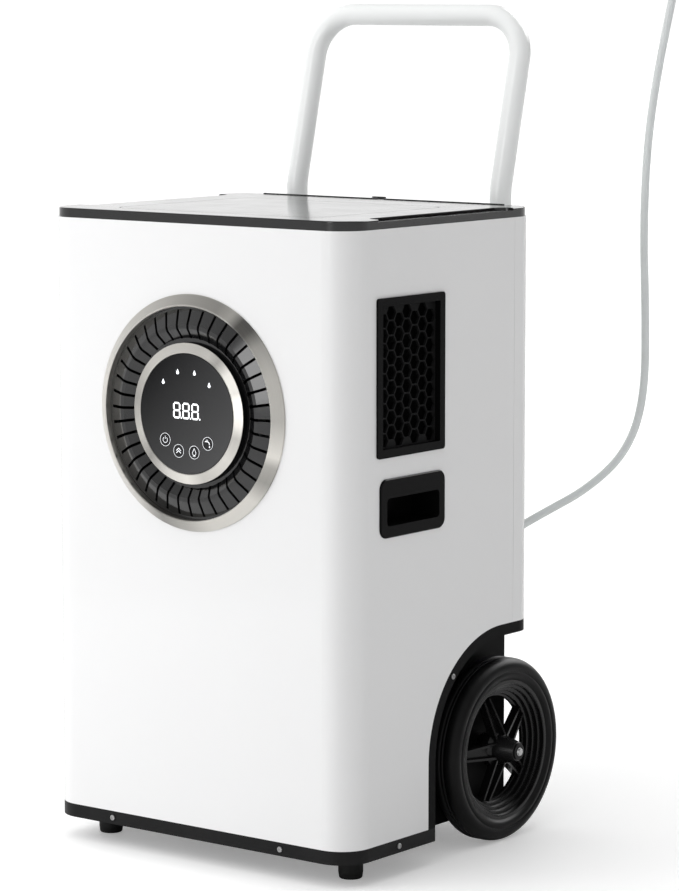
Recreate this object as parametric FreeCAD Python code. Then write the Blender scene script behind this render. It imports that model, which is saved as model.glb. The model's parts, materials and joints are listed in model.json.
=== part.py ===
import FreeCAD
import Part
import math
import os

# Portable compressor dehumidifier on two wheels, in millimetres, +Z up.
# The front faces -Y. Shapes are drawn from the middle of the cabinet's width,
# with the front sheet at front_y, and moved at the end so that the origin is
# the middle of the footprint, on the floor.

# ---- cabinet ----
cabinet_width = 468.0
cabinet_depth = 375.5
cover_top_z = 785.0
front_y = -180.0
front_corner = 39.0
rear_corner = 29.0
sheet = 1.2
seam_setback = 43.5
seam_gap = 0.4
overlap = 12.0
flange_width = 12.0

# ---- base, cover and feet ----
ground_gap = 29.0
base_height = 16.6
base_wall = 3.0
cover_height = 11.4
cover_inset = 1.5
cover_wall = 3.0
lip_height = 1.2
lip_width = 2.5
lip_setback = 4.0
lip_reach = 190.0
lip_gap = 6.0
cover_edge_radius = 1.6
ledge_depth = 3.0
ledge_width = 22.0
ledge_start = 60.0
ledge_stop = 45.0
groove_width = 1.2
groove_depth = 0.8
groove_side = 76.0
groove_front = 40.0
groove_rear = 83.0
foot_radius = 15.0
foot_inset_x = 44.0
foot_inset_y = 62.0

# ---- wheels and arches ----
wheel_radius = 114.1
wheel_width = 38.0
wheel_face_inset = 2.0
wheel_setback = 49.5
tyre_shoulder = 12.0
tread_ribs = 3
tread_depth = 1.8
tyre_depth = 27.1
rim_wall = 4.0
dish_width = 22.0
dish_depth = 22.0
dish_steps = 4
hub_proud = 19.5
hub_radius = 19.5
hub_tip_radius = 11.0
hub_back_radius = 24.0
spoke_count = 5
spoke_hub_width = 21.0
spoke_rim_width = 14.0
spoke_rib = 3.0
spoke_web = 4.0
spoke_height = 11.0
axle_radius = 8.0
axle_play = 0.06
arch_front_y = -22.2
arch_top_z = 274.5
arch_radius = 150.0
arch_lip = 14.0
arch_wall = 2.5
wheel_gap = 8.0
well_tail = 7.0
base_screw_inset = 102.0
base_screw_setback = 99.0
arch_screw_angle = 135.0

# ---- round front outlet with its control pod ----
pod_z = 548.5
ring_radius = 142.0
ring_bore = 128.0
ring_proud = 11.0
slat_count = 40
slat_slot = 3.4
slat_wall = 2.5
slat_ridge_offset = 19.5
pod_radius = 84.5
pod_depth = 27.0
glass_radius = 72.0
glass_thick = 4.0
ring_fit = 0.3
key_circle = 46.7
key_radius = 8.2
key_play = 0.1
key_travel = 0.6
light_circle = 50.4
light_radius = 1.9
board_thick = 1.6

# ---- side grilles and grips ----
grille_front = 54.0
grille_width = 132.0
grille_bottom_z = 506.0
grille_height = 187.5
grille_border = 10.0
grille_proud = 2.5
cell_pitch = 17.6
cell_wall = 1.6
grip_front = 60.0
grip_width = 127.0
grip_bottom_z = 411.0
grip_height = 70.0
grip_side_border = 12.0
grip_low_border = 14.0
grip_top_border = 23.0
grip_depth = 40.0
grip_wall = 2.0

# ---- handle ----
leg_x = 161.4
leg_radius = 13.5
leg_wall = 1.5
leg_offset = 28.0
leg_play = 0.08
handle_top_z = 1015.5
handle_bend_z = 800.0
handle_tilt = 13.6
handle_corner = 55.0
handle_knee = 60.0
sleeve_wall = 2.0
sleeve_bottom_z = 500.0
sleeve_top_z = 745.0
sleeve_floor = 3.0
knob_z = 722.0
knob_radius = 13.0
knob_tip_gap = 0.3

# ---- rear: filter, hose fitting, mains inlet, drain ----
filter_half_width = 112.0
filter_bottom_z = 330.0
filter_top_z = 762.0
filter_thick = 12.0
filter_border = 14.0
filter_play = 0.3
rail_width = 8.0
hose_x = 138.0
hose_z = 350.0
hose_radius = 5.0
hose_bore = 3.5
barb_length = 26.5
inlet_x = -100.0
inlet_z = 200.0
drain_x = 100.0
drain_z = 70.0

# ---- inside ----
fan_radius = 116.0
fan_hub_radius = 38.0
blade_count = 5
blade_pitch = 28.0
blade_chord = 52.0
blade_thick = 2.2
motor_radius = 42.0
motor_length = 60.0
shaft_radius = 4.0
shroud_radius = 121.0
shroud_wall = 2.0
deck_thick = 2.5
shroud_setback = 184.0
coil_half_width = 150.0
coil_bottom_z = 300.0
coil_top_z = 720.0
condenser_depth = 32.0
evaporator_depth = 38.0
pipe_radius = 5.0
pipe_wall = 0.8
compressor_radius = 60.0
compressor_stand = 12.0
compressor_x = -95.0
compressor_y = -85.0
accumulator_x = -5.0
accumulator_radius = 24.0
accumulator_low_z = 70.0
accumulator_top_z = 230.0
strap_z = 130.0
strap_height = 12.0
tank_x = (40.0, 190.0)
tank_y = (-165.0, -60.0)
tank_height = 98.0
tank_wall = 2.5
pump_radius = 24.0
pump_height = 42.0
float_radius = 18.0
float_height = 22.0
guide_length = 60.0
guide_radius = 3.0
drain_spout_x = 120.0
electrics_x = (-150.0, -10.0)
electrics_y = (20.0, 110.0)
electrics_z = 190.0
electrics_wall = 2.0
board_drop = 14.0
capacitor_x = 60.0
capacitor_y = 60.0
capacitor_radius = 22.0
pipe_bend = 14.0
discharge_z = 312.0
liquid_z = 318.0
return_z = 704.0
drier_low_z = 400.0
drier_top_z = 470.0
drier_radius = 11.0
suction_z = 345.0

# ---- derived places ----
half_width = cabinet_width / 2
rear_y = front_y + cabinet_depth
cover_bottom_z = cover_top_z - cover_height
base_top_z = ground_gap + base_height
seam_y = rear_y - seam_setback
wheel_y = rear_y - wheel_setback
wheel_outer_x = half_width - wheel_face_inset
wheel_inner_x = wheel_outer_x - wheel_width
rim_radius = wheel_radius - tyre_depth
dish_radius = rim_radius - dish_width
slat_ridge_radius = pod_radius + slat_ridge_offset
well_x = wheel_inner_x - wheel_gap
well_inner_x = well_x - arch_wall
well_front_y = arch_front_y + arch_lip
hub_tip_x = wheel_outer_x + hub_proud
leg_y = rear_y + leg_offset
handle_rear_y = leg_y + (handle_top_z - handle_bend_z) * math.tan(math.radians(handle_tilt))
glass_y = front_y - ring_proud
pod_face_y = glass_y + glass_thick
board_y = pod_face_y + 2.5
shroud_y = front_y + shroud_setback + 10.0
deck_z = arch_top_z
deck_top_z = deck_z + deck_thick
floor_z = ground_gap + base_wall
condenser_y = shroud_y + 46.0
evaporator_y = condenser_y + condenser_depth + 18.0
drain_spout_y = condenser_y + 4.0
discharge_x = -coil_half_width - 28
suction_x = -coil_half_width - 40
liquid_x = coil_half_width + 40
inner_hose_x = coil_half_width + 62
pump_x = tank_x[0] + 35
pump_y = tank_y[0] + 53
float_x = tank_x[1] - 35
shift_y = -(handle_rear_y + leg_radius + glass_y) / 2

# ---- free drain hose: the route's points, from the fitting to the hose hook ----
hose_points = [
    (138.0, 222.0, 350.0),
    (138.0, 246.0, 350.0),
    (142.0, 275.0, 362.0),
    (159.0, 317.0, 381.0),
    (194.0, 378.0, 412.0),
    (221.5, 425.5, 458.0),
    (233.5, 446.0, 527.0),
    (233.0, 446.0, 640.0),
    (231.0, 442.0, 745.0),
    (233.5, 446.0, 860.0),
    (242.0, 461.0, 965.0),
    (253.0, 480.0, 1062.0),
]


def vec(x, y, z):
    return FreeCAD.Vector(x, y, z)


def box(x0, x1, y0, y1, z0, z1):
    return Part.makeBox(x1 - x0, y1 - y0, z1 - z0, vec(x0, y0, z0))


def rod(x, y, z, radius, length, axis):
    return Part.makeCylinder(radius, length, vec(x, y, z), axis)


def along_x(x, y, z, radius, length):
    return rod(x, y, z, radius, length, vec(1, 0, 0))


def along_y(x, y, z, radius, length):
    return rod(x, y, z, radius, length, vec(0, 1, 0))


def along_z(x, y, z, radius, length):
    return rod(x, y, z, radius, length, vec(0, 0, 1))


def fuse(shapes):
    joined = shapes[0]
    for shape in shapes[1:]:
        joined = joined.fuse(shape)
    return joined.removeSplitter()


def mirrored(shape):
    return shape.mirror(vec(0, 0, 0), vec(1, 0, 0))


def polygon_face(points):
    wire = Part.makePolygon(points + [points[0]])
    return Part.Face(wire)


def turned_about_y(profile, x, z):
    """profile: (radius, y) points, turned about the line along Y through x, z."""
    face = polygon_face([vec(x + r, y, z) for r, y in profile])
    return face.revolve(vec(x, 0, z), vec(0, 1, 0), 360)


def turned_about_x(profile, y, z):
    face = polygon_face([vec(x, y + r, z) for r, x in profile])
    return face.revolve(vec(0, y, z), vec(1, 0, 0), 360)


def turned_about_z(profile, x, y):
    face = polygon_face([vec(x + r, y, z) for r, z in profile])
    return face.revolve(vec(x, y, 0), vec(0, 0, 1), 360)


def rounded_block(x0, x1, y0, y1, z0, z1, front_radius, rear_radius):
    """A block whose upright edges are rounded, front (low Y) and rear pairs apart."""
    block = box(x0, x1, y0, y1, z0, z1)
    for radius, side_y in ((front_radius, y0), (rear_radius, y1)):
        if radius <= 0:
            continue
        edges = [
            e for e in block.Edges
            if abs(e.Vertexes[0].X - e.Vertexes[-1].X) < 1e-6
            and abs(e.Vertexes[0].Y - e.Vertexes[-1].Y) < 1e-6
            and abs(e.Vertexes[0].Y - side_y) < 1e-6
        ]
        block = block.makeFillet(radius, edges)
    return block


def side_plate(x0, x1, y0, y1, z0, z1, radius):
    """A plate square to X with its four corners rounded."""
    plate = box(x0, x1, y0, y1, z0, z1)
    edges = [
        e for e in plate.Edges
        if abs(e.Vertexes[0].X - e.Vertexes[-1].X) > 1e-6
    ]
    return plate.makeFillet(radius, edges)


def pipe_path(points, radius):
    """Straight runs joined by tangent arcs of one radius, as one wire."""
    edges = []
    start = points[0]
    for before, corner, after in zip(points, points[1:], points[2:]):
        back = (before - corner).normalize()
        onward = (after - corner).normalize()
        half_turn = (math.pi - back.getAngle(onward)) / 2
        trim = radius * math.tan(half_turn)
        first = corner + back * trim
        last = corner + onward * trim
        inward = (back + onward).normalize()
        middle = corner + inward * (radius / math.cos(half_turn) - radius)
        edges.append(Part.LineSegment(start, first).toShape())
        edges.append(Part.Arc(first, middle, last).toShape())
        start = last
    edges.append(Part.LineSegment(start, points[-1]).toShape())
    return Part.Wire(edges)


def swept(wire, start, toward, radius):
    ring = Part.Wire(Part.makeCircle(radius, start, toward - start))
    return wire.makePipeShell([ring], True, False)


def pipe(points, bend, radius, wall):
    """A bent tube with an open bore."""
    corners = [vec(*p) for p in points]
    wire = pipe_path(corners, bend)
    outer = swept(wire, corners[0], corners[1], radius)
    inner = swept(wire, corners[0], corners[1], radius - wall)
    return outer.cut(inner)


# ---- cabinet sheets ----
def outline(inset, z0, z1):
    """The cabinet's plan, drawn in by inset, between two heights."""
    return rounded_block(
        -half_width + inset, half_width - inset, front_y + inset, rear_y - inset,
        z0, z1, front_corner - inset, rear_corner - inset)


def arch_outline(x0, x1, lip):
    """The wheel arch's opening, drawn in by lip: upright front, arc, level top."""
    front = arch_front_y + lip
    top = arch_top_z - lip
    radius = arch_radius - lip
    centre_y = front + radius
    centre_z = top - radius
    bend = radius * math.sqrt(0.5)
    far_y = rear_y + well_tail + arch_wall
    a = vec(x0, front, ground_gap - 1)
    b = vec(x0, front, centre_z)
    c = vec(x0, centre_y - bend, centre_z + bend)
    d = vec(x0, centre_y, top)
    e = vec(x0, far_y, top)
    f = vec(x0, far_y, ground_gap - 1)
    wire = Part.Wire([
        Part.LineSegment(a, b).toShape(),
        Part.Arc(b, c, d).toShape(),
        Part.LineSegment(d, e).toShape(),
        Part.LineSegment(e, f).toShape(),
        Part.LineSegment(f, a).toShape(),
    ])
    return Part.Face(wire).extrude(vec(x1 - x0, 0, 0))


def sheet_wrap(z0, z1):
    """The whole sheet wall with its top flange turned inwards."""
    wall = outline(0, z0, z1).cut(outline(sheet, z0 - 1, z1 + 1))
    flange = outline(0, z1 - sheet, z1).cut(outline(flange_width, z1 - 5, z1 + 1))
    return wall.fuse(flange)


def grille_hole():
    y0 = front_y + grille_front + grille_border / 2
    y1 = y0 + grille_width - grille_border
    z0 = grille_bottom_z + grille_border / 2
    z1 = z0 + grille_height - grille_border
    return box(-half_width - 5, half_width + 5, y0, y1, z0, z1)


def grip_hole():
    y0 = front_y + grip_front + grip_side_border / 2
    y1 = y0 + grip_width - grip_side_border
    z0 = grip_bottom_z + grip_low_border / 2
    z1 = grip_bottom_z + grip_height - grip_side_border / 2
    return box(-half_width - 5, half_width + 5, y0, y1, z0, z1)


def cabinet_shell():
    """Front and both sides in one wrapped sheet."""
    wrap = sheet_wrap(base_top_z, cover_bottom_z)
    front_part = box(-half_width, half_width, front_y, seam_y - seam_gap, 0, cover_top_z)
    shell = wrap.common(front_part)
    shell = shell.cut(along_y(0, front_y - 5, pod_z, ring_bore + 1, 20))
    shell = shell.cut(grille_hole())
    shell = shell.cut(grip_hole())
    for side in (-1, 1):
        x0 = side * (half_width - 20)
        x1 = side * (half_width + 5)
        shell = shell.cut(arch_outline(min(x0, x1), max(x0, x1), 0))
    return shell


def rear_panel():
    """Rear sheet, turned round both corners, with a joggle behind the side sheets."""
    wrap = sheet_wrap(deck_z, cover_bottom_z)
    rear_part = box(-half_width, half_width, seam_y, rear_y, 0, cover_top_z)
    panel = wrap.common(rear_part)
    for side in (-1, 1):
        x0 = side * (half_width - sheet)
        x1 = side * (half_width - 2 * sheet)
        strip = box(min(x0, x1), max(x0, x1), seam_y - overlap, seam_y + 4,
                    deck_top_z + 1, cover_bottom_z - sheet)
        panel = panel.fuse(strip)
    panel = panel.removeSplitter()
    panel = panel.cut(box(-filter_half_width + filter_border, filter_half_width - filter_border,
                          rear_y - 5, rear_y + 5,
                          filter_bottom_z + filter_border, filter_top_z - 2 * filter_border))
    panel = panel.cut(along_y(hose_x, rear_y - 5, hose_z, hose_radius + 1, 10))
    return panel


def lower_rear_panel():
    """Black sheet that closes the space between the wheel wells."""
    plate = box(-well_inner_x, well_inner_x, rear_y - arch_wall, rear_y, floor_z, arch_top_z)
    plate = plate.cut(box(inlet_x - 22, inlet_x + 22, rear_y - 5, rear_y + 5,
                          inlet_z - 13, inlet_z + 13))
    return plate.cut(along_y(drain_x, rear_y - 5, drain_z, 9, 10))


def base_tray():
    tray = outline(0, ground_gap, base_top_z)
    hollow = outline(base_wall, floor_z, base_top_z + 1)
    tray = tray.cut(hollow)
    for side in (-1, 1):
        x0 = side * well_inner_x
        x1 = side * (half_width + 1)
        tray = tray.cut(box(min(x0, x1), max(x0, x1), well_front_y, rear_y + 1,
                            ground_gap - 1, base_top_z + 1))
    side_walls = [
        box(min(s * well_inner_x, s * (well_inner_x - base_wall)),
            max(s * well_inner_x, s * (well_inner_x - base_wall)),
            well_front_y, rear_y - base_wall, ground_gap, base_top_z)
        for s in (-1, 1)
    ]
    well_walls = [
        box(min(s * (well_inner_x - base_wall), s * (half_width - base_wall)),
            max(s * (well_inner_x - base_wall), s * (half_width - base_wall)),
            well_front_y - base_wall, well_front_y, ground_gap, base_top_z)
        for s in (-1, 1)
    ]
    tray = fuse([tray] + side_walls + well_walls)
    rear_slot = box(-well_inner_x, well_inner_x, rear_y - arch_wall, rear_y,
                    floor_z, base_top_z + 1)
    return tray.cut(rear_slot)


def wheel_arch():
    """Right-hand wheel well: inner wall, curved roof and the lip seen on the side."""
    x_out = half_width
    wall = arch_outline(well_inner_x, well_x, arch_lip - arch_wall)
    roof = arch_outline(well_inner_x, x_out, arch_lip - arch_wall)
    roof = roof.cut(arch_outline(well_x, x_out + 1, arch_lip))
    lip = arch_outline(x_out - arch_wall, x_out, 0)
    lip = lip.cut(arch_outline(x_out - arch_wall - 1, x_out + 1, arch_lip))
    top = box(well_inner_x, x_out, arch_front_y + arch_radius, rear_y,
              arch_top_z - arch_lip, arch_top_z)
    top = top.cut(outline(arch_wall, 0, arch_top_z + 1)).common(outline(0, 0, arch_top_z + 1))
    rib = box(well_inner_x, well_inner_x + arch_wall, wheel_y - 40, wheel_y + 40,
              arch_top_z - arch_lip, arch_top_z)
    inside_plan = outline(0, ground_gap, arch_top_z)
    tail = box(well_inner_x, well_x, wheel_y, rear_y + well_tail, ground_gap, arch_top_z - arch_lip)
    plan = inside_plan.fuse(tail)
    body = fuse([wall, roof, lip]).common(plan)
    body = fuse([body, top, rib])
    body = body.cut(box(0, x_out, -400, 400, ground_gap - 5, ground_gap))
    body = body.cut(box(well_inner_x - 1, x_out + 1, front_y, well_front_y, 0, base_top_z))
    return body.cut(along_x(well_inner_x - 1, wheel_y, wheel_radius, axle_radius, 10))


def top_cover():
    cover = outline(cover_inset, cover_bottom_z, cover_top_z)
    rim_edges = [e for e in cover.Edges if e.BoundBox.ZMin > cover_top_z - 0.01]
    cover = cover.makeFillet(cover_edge_radius, rim_edges)
    cover = cover.cut(outline(cover_inset + 4, cover_bottom_z - 1,
                              cover_top_z - cover_wall - ledge_depth))
    ledge_y0 = front_y + ledge_start
    ledge_y1 = rear_y - ledge_stop
    for side in (-1, 1):
        x0 = side * (half_width - ledge_width)
        x1 = side * (half_width + 20)
        step = rounded_block(min(x0, x1), max(x0, x1), ledge_y0, ledge_y1,
                             cover_top_z - ledge_depth, cover_top_z + 1, 15, 15)
        cover = cover.cut(step)
    gx = half_width - groove_side
    gy0 = front_y + groove_front
    gy1 = rear_y - groove_rear
    frame = rounded_block(-gx, gx, gy0, gy1, cover_top_z - groove_depth, cover_top_z + 1, 18, 18)
    frame = frame.cut(rounded_block(-gx + groove_width, gx - groove_width,
                                    gy0 + groove_width, gy1 - groove_width,
                                    cover_top_z - 2, cover_top_z + 2, 17, 17))
    cover = cover.cut(frame)
    lip_y = rear_y - lip_setback
    for x0, x1 in ((-lip_reach, -lip_gap), (lip_gap, lip_reach)):
        cover = cover.fuse(box(x0, x1, lip_y - lip_width, lip_y, cover_top_z - 1,
                               cover_top_z + lip_height))
    return cover.removeSplitter()


def front_feet():
    feet = []
    for side in (-1, 1):
        x = side * (half_width - foot_inset_x)
        y = front_y + foot_inset_y
        r = foot_radius
        feet.append(turned_about_z(
            [(0, 0), (r - 2, 0), (r - 1, 1), (r, 8), (r, ground_gap), (0, ground_gap)], x, y))
    return Part.makeCompound(feet)


# ---- wheels ----
def quarter_arc(x, r, radius, start, count):
    """(radius, x) points on a quarter circle about (r, x), from start degrees."""
    points = []
    for i in range(count + 1):
        turn = math.radians(start + 90.0 * i / count)
        points.append((r + radius * math.sin(turn), x + radius * math.cos(turn)))
    return points


def wheel_tyre():
    """A round-shouldered solid tyre with three ribs round its tread."""
    x0 = wheel_inner_x
    x1 = wheel_outer_x
    r0 = rim_radius
    r1 = wheel_radius
    shoulder = tyre_shoulder
    inner = [(r, 2 * (x0 + shoulder) - x) for r, x in
             quarter_arc(x0 + shoulder, r1 - shoulder, shoulder, 0, 5)]
    outer = quarter_arc(x1 - shoulder, r1 - shoulder, shoulder, 0, 5)[::-1]
    profile = [(r0, x0 + 3), (r0 + 6, x0)] + inner
    tread_start = x0 + shoulder
    pitch = (x1 - x0 - 2 * shoulder) / tread_ribs
    for i in range(tread_ribs):
        x = tread_start + pitch * i
        if i:
            profile += [(r1 - tread_depth, x - 0.6), (r1 - tread_depth, x + 0.6)]
            profile += [(r1, x + 1.0)]
        if i < tread_ribs - 1:
            profile += [(r1, x + pitch - 1.0)]
    profile += outer + [(r0 + 6, x1), (r0, x1 - 3)]
    return turned_about_x(profile, wheel_y, wheel_radius)


def across_x(points, x0, x1):
    """A prism along X over (y, z) points."""
    face = polygon_face([vec(x0, y, z) for y, z in points])
    return face.extrude(vec(x1 - x0, 0, 0))


def along_spoke(points):
    """A prism across a spoke over (x, radius) points."""
    width = spoke_hub_width + 2
    face = polygon_face([vec(x, -width / 2, r) for x, r in points])
    return face.extrude(vec(0, width, 0))


def spoke(angle):
    """A tapered channel: a sloping web with a rib along each edge."""
    hub_x = wheel_outer_x - 9
    rim_x = wheel_outer_x - 3 - dish_depth - rim_wall + 1
    r0 = hub_radius - 4
    r1 = dish_radius + 1.5
    low = spoke_height
    side = along_spoke([(rim_x, r1), (rim_x + low, r1), (hub_x + 3, r0), (hub_x + 3 - low, r0)])
    half0 = spoke_hub_width / 2
    half1 = spoke_rim_width / 2
    x_end = hub_tip_x
    plan = across_x([(-half0, r0), (half0, r0), (half1, r1), (-half1, r1)], wheel_inner_x, x_end)
    ribbed = side.common(plan)
    web = spoke_web
    above = along_spoke([(rim_x + web, r1 + 1), (x_end, r1 + 1), (x_end, r0),
                         (hub_x + 3 - low + web, r0)])
    half0 -= spoke_rib
    half1 -= spoke_rib
    inside = across_x([(-half0, r0), (half0, r0), (half1, r1 + 1), (-half1, r1 + 1)],
                      wheel_inner_x, x_end)
    ribbed = ribbed.cut(above.common(inside))
    ribbed.rotate(vec(0, 0, 0), vec(1, 0, 0), angle)
    ribbed.translate(vec(0, wheel_y, wheel_radius))
    return ribbed


def wheel_rim():
    """A band under the tyre, a stepped dish inside it, the spokes and a long hub."""
    x0 = wheel_inner_x + 3
    x1 = wheel_outer_x - 3
    band_r = rim_radius - rim_wall
    band = turned_about_x([(band_r, x0), (rim_radius, x0), (rim_radius, x1), (band_r, x1)],
                          wheel_y, wheel_radius)
    step_r = (band_r - dish_radius) / dish_steps
    step_x = dish_depth / dish_steps
    dish = [(band_r + 0.5, x1)]
    for i in range(dish_steps):
        r = band_r - step_r * i
        x = x1 - step_x * i
        dish += [(r - 1, x - 0.6), (r - 1.6, x - step_x + 0.6), (r - step_r + 0.2, x - step_x)]
    back_x = x1 - dish_depth - rim_wall
    dish += [(dish_radius, back_x), (dish_radius + 3, back_x), (band_r + 0.5, back_x + 10)]
    dish_ring = turned_about_x(dish, wheel_y, wheel_radius)
    hub = turned_about_x([(0, wheel_inner_x), (hub_radius - 3, wheel_inner_x),
                          (hub_back_radius, wheel_outer_x - 24), (hub_back_radius, wheel_outer_x - 15),
                          (hub_radius, wheel_outer_x - 11), (hub_tip_radius + 0.8, hub_tip_x - 4.6),
                          (hub_tip_radius, hub_tip_x - 4), (0, hub_tip_x - 4)],
                         wheel_y, wheel_radius)
    step = 360.0 / spoke_count
    spokes = [spoke(90.0 + step * i) for i in range(spoke_count)]
    rim = fuse([band, dish_ring, hub] + spokes)
    bore = along_x(wheel_inner_x - 1, wheel_y, wheel_radius, axle_radius + axle_play,
                   hub_tip_x - wheel_inner_x)
    return rim.cut(bore)


def axle():
    end = hub_tip_x - 3.7
    return along_x(-end, wheel_y, wheel_radius, axle_radius, 2 * end)


def axle_ends():
    """A washer inside each wheel and a domed bolt outside it."""
    pieces = []
    for side in (-1, 1):
        bolt = turned_about_x([(0, hub_tip_x - 3.7), (10, hub_tip_x - 3.7), (10, hub_tip_x - 2.4),
                               (5, hub_tip_x - 2), (4.6, hub_tip_x - 0.5), (3.4, hub_tip_x),
                               (0, hub_tip_x)], wheel_y, wheel_radius)
        washer = turned_about_x([(axle_radius, well_x), (15, well_x), (15, wheel_inner_x - 0.3),
                                 (axle_radius, wheel_inner_x - 0.3)], wheel_y, wheel_radius)
        pair = Part.makeCompound([bolt, washer])
        if side < 0:
            pair = mirrored(pair)
        pieces += pair.Solids
    return Part.makeCompound(pieces)


def axle_brackets():
    """A plate inside each wheel well that carries the axle."""
    plates = []
    for side in (-1, 1):
        x0 = well_inner_x - 4
        plate = box(x0, well_inner_x, wheel_y - 30, wheel_y + 30, base_top_z, wheel_radius + 40)
        plate = plate.cut(along_x(x0 - 1, wheel_y, wheel_radius, axle_radius, 10))
        if side < 0:
            plate = mirrored(plate)
        plates.append(plate)
    return Part.makeCompound(plates)


# ---- front outlet and control pod ----
def outer_ring():
    r0 = ring_bore
    r1 = ring_radius
    return turned_about_y([(r0, front_y), (r0, glass_y + 0.8), (r0 + 0.8, glass_y),
                           (r0 + 2.2, glass_y), (r1 - 0.6, front_y - 2.4), (r1, front_y - 1.6),
                           (r1, front_y)], 0, pod_z)


def louvre():
    """An annulus folded to a ridge, cut by radial slots, with a flange behind the sheet."""
    y_low = front_y + 1.5
    y_top = front_y - 8.0
    r_out = ring_bore - ring_fit
    r_in = pod_radius + 0.5
    w = slat_wall
    inner_flat = r_in + 5
    profile = [(r_in, y_low), (r_in, y_low - w), (inner_flat, y_low - w),
               (slat_ridge_radius - 2.5, y_top), (slat_ridge_radius + 2.5, y_top),
               (r_out - 3, front_y - 1.5), (r_out, front_y - 1.5), (r_out, front_y + sheet),
               (ring_radius - 2, front_y + sheet), (ring_radius - 2, front_y + sheet + w),
               (r_out - 3, front_y + sheet + w), (r_out - 4, front_y + w),
               (slat_ridge_radius + 1.5, y_top + w), (slat_ridge_radius - 1.5, y_top + w),
               (inner_flat + 1, y_low)]
    ring = turned_about_y(profile, 0, pod_z)
    slots = []
    for i in range(slat_count):
        slot = box(-slat_slot / 2, slat_slot / 2, y_top - 5, front_y + 12,
                   inner_flat - 0.5, r_out - 3.5)
        slot.rotate(vec(0, 0, 0), vec(0, 1, 0), 360.0 * i / slat_count)
        slot.translate(vec(0, 0, pod_z))
        slots.append(slot)
    return ring.cut(Part.makeCompound(slots))


def pod_housing():
    """A cup behind the glass, with a flange that the louvre's inner edge is fixed to."""
    r = pod_radius
    back = pod_face_y + pod_depth
    ledge = 64.0
    seat = front_y + 1.5
    return turned_about_y([(0, back - 2.5), (r - 2.5, back - 2.5), (r - 2.5, board_y),
                           (ledge, board_y), (ledge, pod_face_y), (r, pod_face_y), (r, seat),
                           (r + 5, seat), (r + 5, seat + 2.5), (r, seat + 2.5), (r, back),
                           (0, back)], 0, pod_z)


def pod_ring():
    r0 = glass_radius + ring_fit
    return turned_about_y([(r0, pod_face_y), (r0, glass_y + 0.5), (r0 + 0.5, glass_y),
                           (r0 + 1.5, glass_y), (pod_radius, pod_face_y - 0.8),
                           (pod_radius, pod_face_y)], 0, pod_z)


def on_circle(radius, degrees):
    """A place on the panel, by angle from straight down."""
    turn = math.radians(degrees)
    return radius * math.sin(turn), pod_z - radius * math.cos(turn)


key_places = [on_circle(key_circle, a) for a in (-45, -15, 15, 45)]
light_places = [on_circle(light_circle, a) for a in (-135, -165, 165, 135)]


def panel_glass():
    glass = turned_about_y([(0, glass_y), (glass_radius - 0.6, glass_y), (glass_radius, glass_y + 0.6),
                            (glass_radius, pod_face_y), (0, pod_face_y)], 0, pod_z)
    for x, z in key_places:
        glass = glass.cut(along_y(x, glass_y - 1, z, key_radius + key_play, glass_thick + 2))
    for x, z in light_places:
        glass = glass.cut(along_y(x, glass_y - 1, z, light_radius, glass_thick + 2))
    return glass


def key(x, z):
    """A push key: cap, catch behind the glass, and a stem above the switch."""
    cap = along_y(x, glass_y - 0.2, z, key_radius, glass_thick + 0.2)
    catch = along_y(x, pod_face_y, z, key_radius + 1.2, 0.8)
    stem = along_y(x, pod_face_y + 0.8, z, 2.0, board_y - pod_face_y - 1.0 - key_travel)
    return fuse([cap, catch, stem])


def indicator_lights():
    return Part.makeCompound([
        along_y(x, glass_y - 0.2, z, light_radius, board_y - glass_y + 0.2)
        for x, z in light_places])


def panel_board():
    """Round board behind the glass with the three-figure display on it."""
    board = along_y(0, board_y, pod_z, 70.0, board_thick)
    display = box(-24, 24, pod_face_y, board_y, pod_z - 10, pod_z + 17)
    return fuse([board, display])


# ---- side grilles and grips ----
def side_grille():
    x1 = half_width + grille_proud
    y0 = front_y + grille_front
    y1 = y0 + grille_width
    z0 = grille_bottom_z
    z1 = z0 + grille_height
    frame = side_plate(half_width, x1, y0, y1, z0, z1, 4)
    skirt = box(half_width - 8, half_width, y0 + grille_border / 2 + 0.3,
                y1 - grille_border / 2 - 0.3, z0 + grille_border / 2 + 0.3,
                z1 - grille_border / 2 - 0.3)
    grille = frame.fuse(skirt)
    b = grille_border
    grille = grille.cut(box(half_width - 5, x1 + 1, y0 + b, y1 - b, z0 + b, z1 - b))
    return grille.removeSplitter().cut(honeycomb(y0 + b, y1 - b, z0 + b, z1 - b))


def honeycomb(y0, y1, z0, z1):
    """Prisms of the hexagonal holes that fit wholly between the four edges."""
    column = cell_pitch * math.sqrt(3) / 2
    reach = (cell_pitch - cell_wall) / math.sqrt(3)
    columns = int((y1 - y0 - 2 * reach) // column) + 1
    side_space = (y1 - y0 - (columns - 1) * column) / 2
    holes = []
    for i in range(columns):
        y = y0 + side_space + i * column
        drop = cell_pitch / 2 if i % 2 else 0
        rows = int((z1 - z0 - cell_pitch / 2) // cell_pitch)
        low = z0 + (z1 - z0 - cell_pitch * (rows + 0.5)) / 2 + cell_pitch / 2
        for j in range(rows):
            z = low + drop + j * cell_pitch
            corners = []
            for k in range(6):
                turn = math.radians(60 * k)
                corners.append(vec(half_width - 10, y + reach * math.cos(turn),
                                   z + reach * math.sin(turn)))
            holes.append(polygon_face(corners).extrude(vec(12, 0, 0)))
    return Part.makeCompound(holes)


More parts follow.
